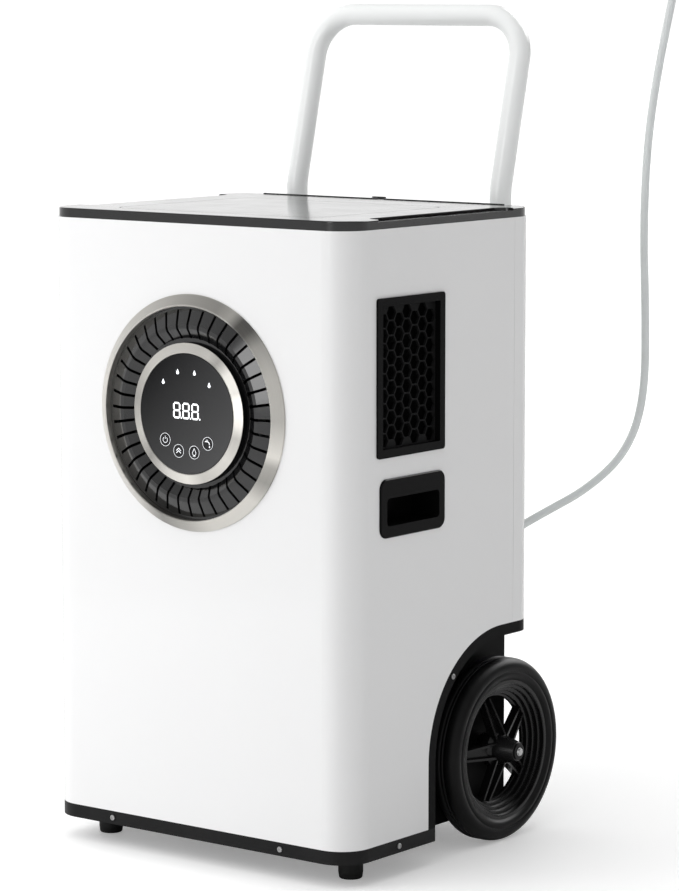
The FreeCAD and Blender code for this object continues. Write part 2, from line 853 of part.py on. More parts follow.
def grip_cup():
    """A frame with a pocket behind it; the pocket rises behind the frame's top bar."""
    x1 = half_width + grille_proud
    y0 = front_y + grip_front
    y1 = y0 + grip_width
    z0 = grip_bottom_z
    z1 = z0 + grip_height
    s = grip_side_border
    frame = side_plate(half_width, x1, y0, y1, z0, z1, 12)
    outer_edges = [e for e in frame.Edges if e.BoundBox.XMin > x1 - 0.01]
    frame = frame.makeChamfer(1.2, outer_edges)
    cup = box(half_width - grip_depth, half_width, y0 + s / 2 + 0.3, y1 - s / 2 - 0.3,
              z0 + grip_low_border / 2 + 0.3, z1 - s / 2 - 0.3)
    body = frame.fuse(cup)
    mouth = side_plate(half_width - grip_depth + grip_wall, x1 + 1, y0 + s, y1 - s,
                       z0 + grip_low_border, z1 - grip_top_border, 5)
    pocket = box(half_width - grip_depth + grip_wall, half_width - 6, y0 + s, y1 - s,
                 z0 + grip_low_border, z1 - s / 2 - 0.3 - grip_wall)
    return body.cut(mouth).cut(pocket)


# ---- handle ----
def handle_corners():
    return [
        (-leg_x, leg_y, sleeve_bottom_z + sleeve_floor),
        (-leg_x, leg_y, handle_bend_z),
        (-leg_x, handle_rear_y, handle_top_z),
        (leg_x, handle_rear_y, handle_top_z),
        (leg_x, leg_y, handle_bend_z),
        (leg_x, leg_y, sleeve_bottom_z + sleeve_floor),
    ]


def handle_path():
    """The knees above the sleeves and the two top corners have their own radii."""
    corners = [vec(*p) for p in handle_corners()]
    radii = [handle_knee, handle_corner, handle_corner, handle_knee]
    edges = []
    start = corners[0]
    for i, radius in enumerate(radii):
        before, corner, after = corners[i:i + 3]
        back = (before - corner).normalize()
        onward = (after - corner).normalize()
        half_turn = (math.pi - back.getAngle(onward)) / 2
        first = corner + back * (radius * math.tan(half_turn))
        last = corner + onward * (radius * math.tan(half_turn))
        inward = (back + onward).normalize()
        middle = corner + inward * (radius / math.cos(half_turn) - radius)
        edges.append(Part.LineSegment(start, first).toShape())
        edges.append(Part.Arc(first, middle, last).toShape())
        start = last
    edges.append(Part.LineSegment(start, corners[-1]).toShape())
    return Part.Wire(edges)


def handle_tube():
    corners = [vec(*p) for p in handle_corners()]
    wire = handle_path()
    outer = swept(wire, corners[0], corners[1], leg_radius)
    inner = swept(wire, corners[0], corners[1], leg_radius - leg_wall)
    return outer.cut(inner)


def handle_sleeve():
    """Right-hand socket tube, welded by a web to the plate screwed on the rear panel."""
    r_out = leg_radius + leg_play + sleeve_wall
    length = sleeve_top_z - sleeve_bottom_z
    tube = along_z(leg_x, leg_y, sleeve_bottom_z, r_out, length)
    plate = box(leg_x - 22, leg_x + 22, rear_y, rear_y + 3, sleeve_bottom_z, sleeve_top_z)
    web = box(leg_x - 4, leg_x + 4, rear_y + 3, leg_y, sleeve_bottom_z, sleeve_top_z)
    boss = along_x(leg_x - r_out - 4, leg_y, knob_z, 8, r_out)
    sleeve = fuse([tube, plate, web, boss])
    sleeve = sleeve.cut(along_z(leg_x, leg_y, sleeve_bottom_z + sleeve_floor,
                                leg_radius + leg_play, length))
    return sleeve.cut(along_x(leg_x - r_out - 5, leg_y, knob_z, 4.05, r_out))


def knob():
    """Right-hand clamp knob: a lobed head and the screw that bears on the leg."""
    r_out = leg_radius + leg_play + sleeve_wall
    head_x = leg_x - r_out - 4.3
    head = along_x(head_x - 12, leg_y, knob_z, knob_radius, 12)
    lobe_cuts = []
    lobes = 5
    for i in range(lobes):
        turn = math.radians(360.0 * i / lobes)
        lobe_cuts.append(along_x(head_x - 13, leg_y + (knob_radius + 3) * math.cos(turn),
                                 knob_z + (knob_radius + 3) * math.sin(turn), 5, 14))
    head = head.cut(Part.makeCompound(lobe_cuts))
    screw = along_x(head_x - 1, leg_y, knob_z, 4.0, leg_x - leg_radius - knob_tip_gap - head_x + 1)
    return fuse([head, screw])


def pan_head(x, y, z, outward):
    """A low screw head, 7 mm across, with a cross recess."""
    head = Part.makeCylinder(3.5, 1.6, vec(0, 0, 0), vec(0, 0, 1))
    head = head.makeFillet(0.7, [e for e in head.Edges if e.BoundBox.ZMin > 1.5])
    for w, l in ((1.0, 3.6), (3.6, 1.0)):
        head = head.cut(box(-w / 2, w / 2, -l / 2, l / 2, 1.0, 2.0))
    head.Placement = FreeCAD.Placement(vec(x, y, z), FreeCAD.Rotation(vec(0, 0, 1), outward))
    return head


def case_screws():
    """Screws round the base, on the arch lips and through the sleeves' plates."""
    base_z = ground_gap + base_height / 2
    arch_middle = arch_radius - arch_lip / 2
    turn = math.radians(arch_screw_angle)
    arch_y = arch_front_y + arch_radius + arch_middle * math.cos(turn)
    arch_z = arch_top_z - arch_radius + arch_middle * math.sin(turn)
    heads = []
    for side in (-1, 1):
        heads.append(pan_head(side * (half_width - base_screw_inset), front_y, base_z,
                              vec(0, -1, 0)))
        heads.append(pan_head(side * half_width, front_y + base_screw_setback, base_z,
                              vec(side, 0, 0)))
        heads.append(pan_head(side * half_width, arch_y, arch_z, vec(side, 0, 0)))
        for dx in (-16, 16):
            for z in (sleeve_bottom_z + 30, sleeve_top_z - 30):
                heads.append(pan_head(side * leg_x + dx, rear_y + 3, z, vec(0, 1, 0)))
    return Part.makeCompound(heads)


# ---- rear fittings ----
def filter_rails():
    """Two channel rails and a sill that hold the filter against the rear panel."""
    rails = []
    inner = filter_half_width + filter_play
    outer = inner + rail_width
    z0 = filter_bottom_z
    z1 = filter_top_z - 20
    for side in (-1, 1):
        x0 = side * (inner - 6)
        x1 = side * outer
        rail = box(min(x0, x1), max(x0, x1), rear_y, rear_y + filter_thick + 2.5, z0, z1)
        g0 = side * (inner - 7)
        g1 = side * inner
        rail = rail.cut(box(min(g0, g1), max(g0, g1), rear_y - 1,
                            rear_y + filter_thick + filter_play, z0 - 1, z1 + 1))
        rails.append(rail)
    sill = box(-outer, outer, rear_y, rear_y + filter_thick + 2.5, z0 - 6, z0)
    return fuse([rails[0], sill, rails[1]])


def filter_frame():
    """The cassette's frame with stiffening bars and the finger tab on top."""
    h = filter_half_width
    y0 = rear_y + filter_play
    y1 = rear_y + filter_thick
    frame = box(-h, h, y0, y1, filter_bottom_z, filter_top_z)
    b = filter_border
    window = box(-h + b, h - b, y0 - 1, y1 + 1, filter_bottom_z + b, filter_top_z - b)
    frame = frame.cut(window)
    bars = []
    bar_count = 3
    for i in range(1, bar_count + 1):
        z = filter_bottom_z + b + (filter_top_z - filter_bottom_z - 2 * b) * i / (bar_count + 1)
        bars.append(box(-h + b - 1, h - b + 1, y1 - 4, y1, z - 2, z + 2))
    for i in range(1, bar_count + 1):
        x = -h + b + (2 * h - 2 * b) * i / (bar_count + 1)
        bars.append(box(x - 2, x + 2, y1 - 4, y1, filter_bottom_z + b - 1, filter_top_z - b + 1))
    tab = box(-24, -5, y1 - 4, y1, filter_top_z - 1, cover_top_z + 2)
    return fuse([frame] + bars + [tab])


def filter_mesh():
    h = filter_half_width - filter_border
    y1 = rear_y + filter_thick - 4
    return box(-h, h, y1 - 5, y1, filter_bottom_z + filter_border, filter_top_z - filter_border)


def hose_fitting():
    """A flanged barb on the rear panel that the drain hose is pushed up to."""
    end_y = rear_y + barb_length
    profile = [(hose_bore, rear_y - 8), (hose_radius + 1, rear_y - 8), (hose_radius + 1, rear_y),
               (14, rear_y), (14, rear_y + 3), (8, rear_y + 4), (8, end_y - 1),
               (7, end_y), (hose_bore, end_y)]
    return turned_about_y(profile, hose_x, hose_z)


def hose_wire():
    """Straight runs with tangent arcs, each as large as its two runs allow."""
    points = [vec(*p) for p in hose_points]
    edges = []
    radii = []
    start = points[0]
    for before, corner, after in zip(points, points[1:], points[2:]):
        back = before - corner
        onward = after - corner
        trim = 0.45 * min(back.Length, onward.Length)
        back.normalize()
        onward.normalize()
        half_turn = (math.pi - back.getAngle(onward)) / 2
        radius = trim / math.tan(half_turn)
        radii.append(radius)
        inward = (back + onward).normalize()
        middle = corner + inward * (radius / math.cos(half_turn) - radius)
        edges.append(Part.LineSegment(start, corner + back * trim).toShape())
        edges.append(Part.Arc(corner + back * trim, middle, corner + onward * trim).toShape())
        start = corner + onward * trim
    edges.append(Part.LineSegment(start, points[-1]).toShape())
    return Part.Wire(edges), radii


def drain_hose():
    wire, radii = hose_wire()
    start = vec(*hose_points[0])
    tube = swept(wire, start, vec(*hose_points[1]), hose_radius)
    expected = math.pi * hose_radius ** 2 * wire.Length
    print("hose length %.1f mm, bend radii %s" % (wire.Length, [round(r) for r in radii]))
    print("hose volume against section times length: %.4f" % (tube.Volume / expected))
    return tube


def hose_hook():
    """A socket on the hose's end with a hook that hangs it above."""
    end = vec(*hose_points[-1])
    way = (end - vec(*hose_points[-2])).normalize()
    socket = Part.makeCylinder(7.5, 22, end, way)
    level = vec(-way.y, way.x, 0).normalize()
    side = way.cross(level).normalize()
    top = end + way * 20
    a = top
    b = top + way * 12
    c = b + way * 9 + side * 9
    d = b + side * 18
    e = d - way * 10
    wire = Part.Wire([Part.LineSegment(a, b).toShape(), Part.Arc(b, c, d).toShape(),
                      Part.LineSegment(d, e).toShape()])
    hook = swept(wire, a, b, 3.0)
    return fuse([socket, hook])


def mains_inlet():
    """Flanged inlet for a detachable lead, with its three flat pins."""
    y1 = rear_y + 2.5
    body = box(inlet_x - 25, inlet_x + 25, rear_y, y1, inlet_z - 16, inlet_z + 16)
    body = body.fuse(box(inlet_x - 21.5, inlet_x + 21.5, rear_y - 18, rear_y,
                         inlet_z - 12.5, inlet_z + 12.5)).removeSplitter()
    body = body.cut(box(inlet_x - 12.5, inlet_x + 12.5, rear_y - 14, y1 + 1,
                        inlet_z - 8.5, inlet_z + 8.5))
    pins = [box(inlet_x + dx - 1, inlet_x + dx + 1, rear_y - 15, rear_y - 2,
                inlet_z + dz - 2, inlet_z + dz + 2) for dx, dz in ((-7, -2), (0, 3), (7, -2))]
    return fuse([body] + pins)


def drain_port():
    return turned_about_y([(5.5, rear_y - 20), (9, rear_y - 20), (9, rear_y), (16, rear_y),
                           (16, rear_y + 3), (8.5, rear_y + 3), (8.5, rear_y + 16),
                           (5.5, rear_y + 16)], drain_x, drain_z)


def drain_cap():
    """Screw cap over the gravity drain, with grip flutes."""
    y1 = rear_y + 20
    cap = turned_about_y([(8.56, rear_y + 3.6), (13, rear_y + 3.6), (13, y1 - 1), (12, y1),
                          (0, y1), (0, rear_y + 16.3), (8.56, rear_y + 16.3)], drain_x, drain_z)
    flutes = []
    flute_count = 12
    for i in range(flute_count):
        turn = math.radians(360.0 * i / flute_count)
        flutes.append(along_y(drain_x + 14 * math.cos(turn), rear_y + 3,
                              drain_z + 14 * math.sin(turn), 1.8, 20))
    return cap.cut(Part.makeCompound(flutes))


# ---- inside: air path ----
def mid_deck():
    """Plate across the cabinet that carries the coils above the wheel wells."""
    deck = outline(2 * sheet + 0.2, deck_z, deck_top_z)
    holes = [along_z(x, y, deck_z - 1, r, 10) for x, y, r in (
        (compressor_x, compressor_y, pipe_radius + 2),
        (accumulator_x, compressor_y, pipe_radius + 2),
        (pump_x, pump_y, hose_radius + 2),
        (drain_spout_x, drain_spout_y, hose_radius + 2))]
    return deck.cut(Part.makeCompound(holes))


def drip_tray():
    z0 = deck_top_z
    tray = box(-coil_half_width - 8, coil_half_width + 8, condenser_y - 8,
               evaporator_y + evaporator_depth + 8, z0, coil_bottom_z)
    tray = tray.cut(box(-coil_half_width - 6, coil_half_width + 6, condenser_y - 6,
                        evaporator_y + evaporator_depth + 6, z0 + 12, coil_bottom_z + 1))
    return tray.cut(along_z(drain_spout_x, drain_spout_y, z0 - 1, hose_bore, 20))


def coil(y, depth):
    """Fins on level tubes between end plates, with return bends on the right end."""
    w = coil_half_width
    z0 = deck_top_z + 12
    fins = []
    fin_count = 18
    step = (2 * w - 20) / fin_count
    for i in range(fin_count + 1):
        x = -w + 10 + i * step
        fins.append(box(x - 0.6, x + 0.6, y, y + depth, z0, coil_top_z - 2))
    plates = [box(-w, -w + 2, y, y + depth, z0, coil_top_z),
              box(w - 2, w, y, y + depth, z0, coil_top_z)]
    bends = []
    bend_count = 6
    pitch = (coil_top_z - coil_bottom_z - 60) / bend_count
    for i in range(bend_count):
        z = coil_bottom_z + 50 + i * pitch
        bend = Part.makeTorus(12, 4, vec(w, y + depth / 2, z), vec(0, 1, 0))
        bends.append(bend.common(box(w, w + 30, y - 5, y + depth + 5, z - 30, z + 30)))
        for tube_z in (z - 12, z + 12):
            bends.append(along_x(-w, y + depth / 2, tube_z, 4, 2 * w))
    return plates[0].multiFuse([plates[1]] + fins + bends).removeSplitter()


def fan_shroud():
    """Bulkhead behind the fan with the round duct that the blades turn in."""
    y0 = shroud_y
    inner = sheet
    plate = box(-half_width + inner, half_width - inner, y0, y0 + shroud_wall,
                deck_top_z, cover_bottom_z - sheet)
    duct = along_y(0, y0 - 38, pod_z, shroud_radius + shroud_wall, 38)
    shroud = fuse([plate, duct])
    shroud = shroud.cut(along_y(0, y0 - 40, pod_z, shroud_radius, 60))
    holes = [along_y(x, y0 - 5, z, r, 20) for x, z, r in (
        (discharge_x, discharge_z, pipe_radius + 2),
        (suction_x, suction_z, pipe_radius + 2),
        (inner_hose_x, hose_z, hose_radius + 2))]
    return shroud.cut(Part.makeCompound(holes))


def fan_blade(angle):
    """A thin pitched plate, trimmed later to the fan's circle."""
    blade = box(-blade_chord / 2, blade_chord / 2, -blade_thick / 2, blade_thick / 2,
                fan_hub_radius - 6, fan_radius + 10)
    blade.rotate(vec(0, 0, 0), vec(0, 0, 1), blade_pitch)
    blade.rotate(vec(0, 0, 0), vec(0, 1, 0), angle)
    blade.translate(vec(0, shroud_y - 18, pod_z))
    return blade


def fan_impeller():
    step = 360.0 / blade_count
    blades = [fan_blade(step * i) for i in range(blade_count)]
    swept_space = along_y(0, shroud_y - 40, pod_z, fan_radius, 60)
    hub = along_y(0, shroud_y - 32, pod_z, fan_hub_radius, 28)
    shaft = along_y(0, shroud_y - 60, pod_z, shaft_radius, 30)
    return fuse([hub, shaft] + [b.common(swept_space) for b in blades])


def fan_motor():
    y1 = shroud_y - 34
    y0 = y1 - motor_length
    r = motor_radius
    motor = turned_about_y([(0, y0), (r - 12, y0), (r, y0 + 6), (r, y1 - 6), (r - 12, y1),
                            (0, y1)], 0, pod_z)
    return motor.cut(along_y(0, shroud_y - 61, pod_z, shaft_radius + 0.05, 40))


def motor_bracket():
    """Disc and four arms in front of the motor, stood off from the bulkhead."""
    y0 = shroud_y - 97
    post_at = 140.0
    disc = along_y(0, y0, pod_z, 36, 3)
    parts = [disc]
    for i in range(4):
        arm = box(-8, 8, y0, y0 + 3, 20, post_at + 8)
        post = box(-8, 8, y0, shroud_y, post_at, post_at + 8)
        for piece in (arm, post):
            piece.rotate(vec(0, 0, 0), vec(0, 1, 0), 45 + 90 * i)
            piece.translate(vec(0, 0, pod_z))
            parts.append(piece)
    return fuse(parts)


# ---- inside: refrigerant circuit ----
def compressor():
    x = compressor_x
    y = compressor_y
    r = compressor_radius
    z0 = floor_z + compressor_stand
    z1 = deck_z - 10
    body = turned_about_z([(0, z0 + 3), (r - 12, z0 + 3), (r, z0 + 18), (r, z1 - 22),
                           (r - 14, z1 - 3), (0, z1 - 3)], x, y)
    stub = along_z(x, y, z1 - 6, pipe_radius + 3, 6)
    parts = [body, stub]
    for i in range(3):
        foot = box(0, r + 14, -14, 14, z0, z0 + 4)
        foot.rotate(vec(0, 0, 0), vec(0, 0, 1), 60 + 120 * i)
        foot.translate(vec(x, y, 0))
        parts.append(foot)
    strap = box(x, accumulator_x - accumulator_radius - 2, y - 10, y + 10,
                strap_z, strap_z + strap_height)
    parts.append(strap)
    return Part.makeCompound([fuse(parts), accumulator()])


def compressor_feet():
    """Three rubber grommets under the compressor."""
    feet = []
    reach = compressor_radius + 2
    for i in range(3):
        turn = math.radians(60 + 120 * i)
        feet.append(along_z(compressor_x + reach * math.cos(turn),
                            compressor_y + reach * math.sin(turn), floor_z, 9,
                            compressor_stand))
    return Part.makeCompound(feet)


def accumulator():
    """Small upright vessel held by the compressor's strap."""
    r = accumulator_radius
    z0 = accumulator_low_z
    z1 = accumulator_top_z
    vessel = turned_about_z([(0, z0), (r - 10, z0), (r, z0 + 12), (r, z1 - 12), (r - 10, z1),
                             (0, z1)], accumulator_x, compressor_y)
    pad = box(accumulator_x - r - 2, accumulator_x - r + 6, compressor_y - 10,
              compressor_y + 10, strap_z - 6, strap_z + strap_height + 6)
    return fuse([vessel, pad])


def refrigerant_pipes():
    """Discharge, suction and the two liquid lines on either side of the drier."""
    return Part.makeCompound([discharge_pipe(), suction_pipe()] + liquid_pipes())


def discharge_pipe():
    y = condenser_y + condenser_depth / 2
    return pipe([(compressor_x, compressor_y, deck_z - 10), (compressor_x, compressor_y, discharge_z),
                 (discharge_x, compressor_y, discharge_z), (discharge_x, y, discharge_z),
                 (-coil_half_width, y, discharge_z)], pipe_bend, pipe_radius, pipe_wall)


def suction_pipe():
    y = evaporator_y + evaporator_depth / 2
    return pipe([(-coil_half_width, y, suction_z), (suction_x, y, suction_z),
                 (suction_x, compressor_y, suction_z), (accumulator_x, compressor_y, suction_z),
                 (accumulator_x, compressor_y, accumulator_top_z)],
                pipe_bend, pipe_radius, pipe_wall)


def liquid_pipes():
    """From the condenser to the drier, and from the drier to the evaporator."""
    y0 = condenser_y + condenser_depth / 2
    y1 = evaporator_y + evaporator_depth / 2
    w = coil_half_width
    low = pipe([(w, y0, liquid_z), (liquid_x, y0, liquid_z), (liquid_x, y0, drier_low_z)],
               pipe_bend, pipe_radius, pipe_wall)
    high = pipe([(liquid_x, y0, drier_top_z), (liquid_x, y0, return_z),
                 (liquid_x, y1, return_z), (w, y1, return_z)], pipe_bend, pipe_radius, pipe_wall)
    return [low, high]


def filter_drier():
    y = condenser_y + condenser_depth / 2
    r = drier_radius
    z0 = drier_low_z
    z1 = drier_top_z
    return turned_about_z([(0, z0), (r - 5, z0), (r, z0 + 8), (r, z1 - 8), (r - 5, z1), (0, z1)],
                          liquid_x, y)


# ---- inside: water and electrics ----
def pump_tank():
    tank = box(tank_x[0], tank_x[1], tank_y[0], tank_y[1], floor_z, floor_z + tank_height)
    w = tank_wall
    return tank.cut(box(tank_x[0] + w, tank_x[1] - w, tank_y[0] + w, tank_y[1] - w,
                        floor_z + w, floor_z + tank_height + 1))


def pump():
    """Lid of the tank with the pump on it and the float's guide under it."""
    z = floor_z + tank_height
    lid = box(tank_x[0], tank_x[1], tank_y[0], tank_y[1], z, z + 3)
    body = along_z(pump_x, pump_y, z + 3, pump_radius, pump_height)
    outlet = along_z(pump_x, pump_y, z + 3 + pump_height, 7, 12)
    guide = along_z(float_x, pump_y, z - guide_length, guide_radius, guide_length)
    guide_end = along_z(float_x, pump_y, z - guide_length - 4, 8, 4)
    intake = along_z(pump_x, pump_y, floor_z + 12, 6, tank_height - 12)
    body = fuse([lid, body, outlet, guide, guide_end, intake])
    return body.cut(along_z(drain_spout_x, tank_y[1] - 20, z - 1, hose_bore, 10))


def pump_float():
    z = floor_z + tank_height - guide_length
    ring = along_z(float_x, pump_y, z, float_radius, float_height)
    return ring.cut(along_z(float_x, pump_y, z - 1, guide_radius + 0.06, float_height + 8))


def inner_hoses():
    return Part.makeCompound([pump_hose(), tray_hose()])


def pump_hose():
    """Inner hose from the pump up and round to the rear fitting."""
    back_y = rear_y - 24
    return pipe([(pump_x, pump_y, floor_z + tank_height + pump_height + 15),
                 (pump_x, pump_y, hose_z),
                 (inner_hose_x, pump_y, hose_z), (inner_hose_x, back_y, hose_z),
                 (hose_x, back_y, hose_z), (hose_x, rear_y - 8, hose_z)],
                12.0, hose_radius, hose_radius - hose_bore)


def tray_hose():
    """Inner hose from the drip tray's spout down to the tank."""
    y1 = tank_y[1] - 20
    return pipe([(drain_spout_x, drain_spout_y, deck_top_z), (drain_spout_x, drain_spout_y, 215),
                 (drain_spout_x, y1, 205), (drain_spout_x, y1, floor_z + tank_height + 3)],
                20.0, hose_radius, hose_radius - hose_bore)


def control_box():
    """Open-bottomed box hung under the deck."""
    x0, x1 = electrics_x
    y0, y1 = electrics_y
    w = electrics_wall
    body = box(x0, x1, y0, y1, electrics_z, deck_z)
    return body.cut(box(x0 + w, x1 - w, y0 + w, y1 - w, electrics_z - 1, deck_z - w))


def control_board():
    """Board on four posts, with a transformer, a relay and a terminal block below."""
    x0, x1 = electrics_x
    y0, y1 = electrics_y
    z0 = deck_z - board_drop
    z1 = z0 + board_thick
    board = box(x0 + 4, x1 - 4, y0 + 6, y1 - 6, z0, z1)
    posts = [along_z(x, y, z1, 3, deck_z - electrics_wall - z1)
             for x in (x0 + 12, x1 - 12) for y in (y0 + 14, y1 - 14)]
    blocks = [box(x0 + 20, x0 + 54, y0 + 20, y0 + 50, z0 - 20, z0),
              box(x0 + 70, x0 + 100, y0 + 20, y0 + 44, z0 - 16, z0),
              box(x1 - 34, x1 - 16, y1 - 44, y1 - 20, z0 - 12, z0)]
    return fuse([board] + posts + blocks)


def run_capacitor():
    return along_z(capacitor_x, capacitor_y, electrics_z, capacitor_radius, deck_z - electrics_z)


def save(name, shape):
    placed = shape.copy()
    placed.translate(vec(0, shift_y, 0))
    placed.exportStep("parts/%s.step" % name)


def main():
    os.makedirs("parts", exist_ok=True)
    single = {
        "cabinet_shell": cabinet_shell, "rear_panel": rear_panel,
        "lower_rear_panel": lower_rear_panel, "base_tray": base_tray,
        "top_cover": top_cover, "front_feet": front_feet,
        "axle": axle, "axle_ends": axle_ends, "axle_brackets": axle_brackets,
        "outlet_ring": outer_ring, "louvre": louvre, "pod_housing": pod_housing,
        "pod_ring": pod_ring, "panel_glass": panel_glass,
        "indicator_lights": indicator_lights, "panel_board": panel_board,
        "handle_tube": handle_tube, "case_screws": case_screws,
        "filter_rails": filter_rails, "filter_frame": filter_frame,
        "filter_mesh": filter_mesh, "hose_fitting": hose_fitting,
        "drain_hose": drain_hose, "hose_hook": hose_hook,
        "mains_inlet": mains_inlet, "drain_port": drain_port, "drain_cap": drain_cap,
        "mid_deck": mid_deck, "drip_tray": drip_tray, "fan_shroud": fan_shroud,
        "fan_impeller": fan_impeller, "fan_motor": fan_motor,
        "motor_bracket": motor_bracket, "compressor": compressor,
        "compressor_feet": compressor_feet, "refrigerant_pipes": refrigerant_pipes,
        "filter_drier": filter_drier, "pump_tank": pump_tank, "pump": pump,
        "pump_float": pump_float, "inner_hoses": inner_hoses,
        "control_box": control_box, "control_board": control_board,
        "run_capacitor": run_capacitor,
    }
    for name, make in single.items():
        save(name, make())
    for name, place in zip(("power", "up", "dry", "pump"), key_places):
        save("key_" + name, key(*place))
    save("condenser_coil", coil(condenser_y, condenser_depth))
    save("evaporator_coil", coil(evaporator_y, evaporator_depth))
    for name, make in (("wheel_tyre", wheel_tyre), ("wheel_rim", wheel_rim), ("knob", knob)):
        right = make()
        save(name + "_right", right)
        save(name + "_left", mirrored(right))
    for name, make in (("wheel_arches", wheel_arch), ("side_grilles", side_grille),
                       ("grip_cups", grip_cup), ("handle_sleeves", handle_sleeve)):
        right = make()
        save(name, Part.makeCompound([right, mirrored(right)]))


main()
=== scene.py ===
import bpy
import json
import math
import numpy as np
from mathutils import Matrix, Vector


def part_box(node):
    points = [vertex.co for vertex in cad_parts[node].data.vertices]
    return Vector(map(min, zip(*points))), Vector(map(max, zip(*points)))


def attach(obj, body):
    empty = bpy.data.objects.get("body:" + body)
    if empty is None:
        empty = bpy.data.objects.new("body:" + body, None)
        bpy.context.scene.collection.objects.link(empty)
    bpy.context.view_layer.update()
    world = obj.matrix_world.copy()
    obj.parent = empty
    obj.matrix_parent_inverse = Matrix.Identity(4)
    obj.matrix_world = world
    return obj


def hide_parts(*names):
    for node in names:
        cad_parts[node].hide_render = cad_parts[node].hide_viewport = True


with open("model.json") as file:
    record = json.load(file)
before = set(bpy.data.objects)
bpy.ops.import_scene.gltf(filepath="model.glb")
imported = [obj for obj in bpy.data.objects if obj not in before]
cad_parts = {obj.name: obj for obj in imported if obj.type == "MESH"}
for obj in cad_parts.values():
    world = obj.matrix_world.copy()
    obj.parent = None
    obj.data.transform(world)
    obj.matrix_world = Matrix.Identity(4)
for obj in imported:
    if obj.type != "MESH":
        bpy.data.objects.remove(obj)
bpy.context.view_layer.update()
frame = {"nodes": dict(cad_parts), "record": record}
nodes = frame["nodes"]
scene = bpy.context.scene
print("frame loaded:", len(nodes), "nodes")


# ---- shader sums ----
class Value:
    # a shader value that ordinary sums can be written with
    def __init__(self, tree, socket):
        self.tree = tree
        self.socket = socket

    def calc(self, operation, other=None, swap=False):
        node = self.tree.nodes.new("ShaderNodeMath")
        node.operation = operation
        terms = [other, self] if swap else [self, other]
        for i, term in enumerate(terms):
            if isinstance(term, Value):
                self.tree.links.new(term.socket, node.inputs[i])
            elif term is not None:
                node.inputs[i].default_value = term
        return Value(self.tree, node.outputs[0])

    def __add__(self, other):
        return self.calc("ADD", other)

    def __radd__(self, other):
        return self.calc("ADD", other, True)

    def __sub__(self, other):
        return self.calc("SUBTRACT", other)

    def __rsub__(self, other):
        return self.calc("SUBTRACT", other, True)

    def __mul__(self, other):
        return self.calc("MULTIPLY", other)

    def __rmul__(self, other):
        return self.calc("MULTIPLY", other, True)

    def __truediv__(self, other):
        return self.calc("DIVIDE", other)

    def __gt__(self, other):
        return self.calc("GREATER_THAN", other)

    def __lt__(self, other):
        return self.calc("LESS_THAN", other)

    def sine(self):
        return self.calc("SINE")

    def size(self):
        return self.calc("ABSOLUTE")

    def atLeast(self, other):
        return self.calc("MAXIMUM", other)

    def atMost(self, other):
        return self.calc("MINIMUM", other)

    def root(self):
        return self.calc("SQRT")

    def turn(self, other):
        return self.calc("ARCTAN2", other)

    # 0 below low, 1 above high, smooth between
    def ramp(self, low, high):
        t = ((self - low) / (high - low)).atLeast(0.0).atMost(1.0)
        return t * t * (3.0 - 2.0 * t)


class Finish:
    # one material and the nodes that make it
    def __init__(self, name, tree=None):
        self.material = None
        if tree is None:
            self.material = bpy.data.materials.new(name)
            self.material.use_nodes = True
            tree = self.material.node_tree
        self.tree = tree
        if self.material:
            self.shader = tree.nodes["Principled BSDF"]
            place = self.add("ShaderNodeTexCoord").outputs["Object"]
            apart = self.add("ShaderNodeSeparateXYZ", {}, {0: place})
            self.place = place
            self.x, self.y, self.z = [Value(tree, out) for out in apart.outputs]

    # any node: its settings first, then its sockets
    def add(self, kind, settings=None, sockets=None):
        node = self.tree.nodes.new(kind)
        for key, setting in (settings or {}).items():
            if key == "stops":
                ramp = node.color_ramp
                while len(ramp.elements) < len(setting):
                    ramp.elements.new(0.5)
                for element, (place, colour) in zip(ramp.elements, setting):
                    element.position = place
                    element.color = (*colour, 1)
            else:
                setattr(node, key, setting)
        for key, value in (sockets or {}).items():
            self.feed(node.inputs[key], value)
        return node

    # a socket takes a link from another node, or a plain value
    def feed(self, socket, value):
        if isinstance(value, Value):
            value = value.socket
        if isinstance(value, bpy.types.NodeSocket):
            self.tree.links.new(value, socket)
        else:
            socket.default_value = value

    def vector(self, x, y, z):
        return self.add("ShaderNodeCombineXYZ", {}, {0: x, 1: y, 2: z}).outputs[0]

    def stretched(self, x, y, z):
        return self.add("ShaderNodeVectorMath", {"operation": "MULTIPLY"},
                        {0: self.place, 1: (x, y, z)}).outputs[0]

    def noise(self, scale, detail=3.0, rough=0.5, at=None):
        node = self.add("ShaderNodeTexNoise", {}, {"Vector": at or self.place, "Scale": scale,
                                                   "Detail": detail, "Roughness": rough})
        return Value(self.tree, node.outputs["Fac"])

    def cells(self, scale, at=None):
        node = self.add("ShaderNodeTexVoronoi", {}, {"Vector": at or self.place, "Scale": scale})
        return Value(self.tree, node.outputs["Distance"])

    # a colour between two, by a share from 0 to 1
    def between(self, share, first, second):
        node = self.add("ShaderNodeMix", {"data_type": "RGBA"}, {0: share, 6: first, 7: second})
        return node.outputs[2]

    def bump(self, height, strength, depth):
        node = self.add("ShaderNodeBump", {}, {"Height": height, "Strength": strength,
                                               "Distance": depth})
        return node.outputs["Normal"]

    def set(self, **sockets):
        names = {"colour": "Base Color", "roughness": "Roughness", "metallic": "Metallic",
                 "coat": "Coat Weight", "coatRoughness": "Coat Roughness", "normal": "Normal",
                 "glow": "Emission Color", "glowStrength": "Emission Strength",
                 "clear": "Transmission Weight", "ior": "IOR", "specular": "Specular IOR Level",
                 "sheen": "Sheen Weight"}
        for key, value in sockets.items():
            self.feed(self.shader.inputs[names[key]], value)
        return self.material


def rgb(red, green, blue):
    return (red, green, blue, 1.0)


def shade(colour, factor, lift=0.0):
    return rgb(*(channel * factor + lift for channel in colour[:3]))


def length(across, along):
    return (across * across + along * along).root()


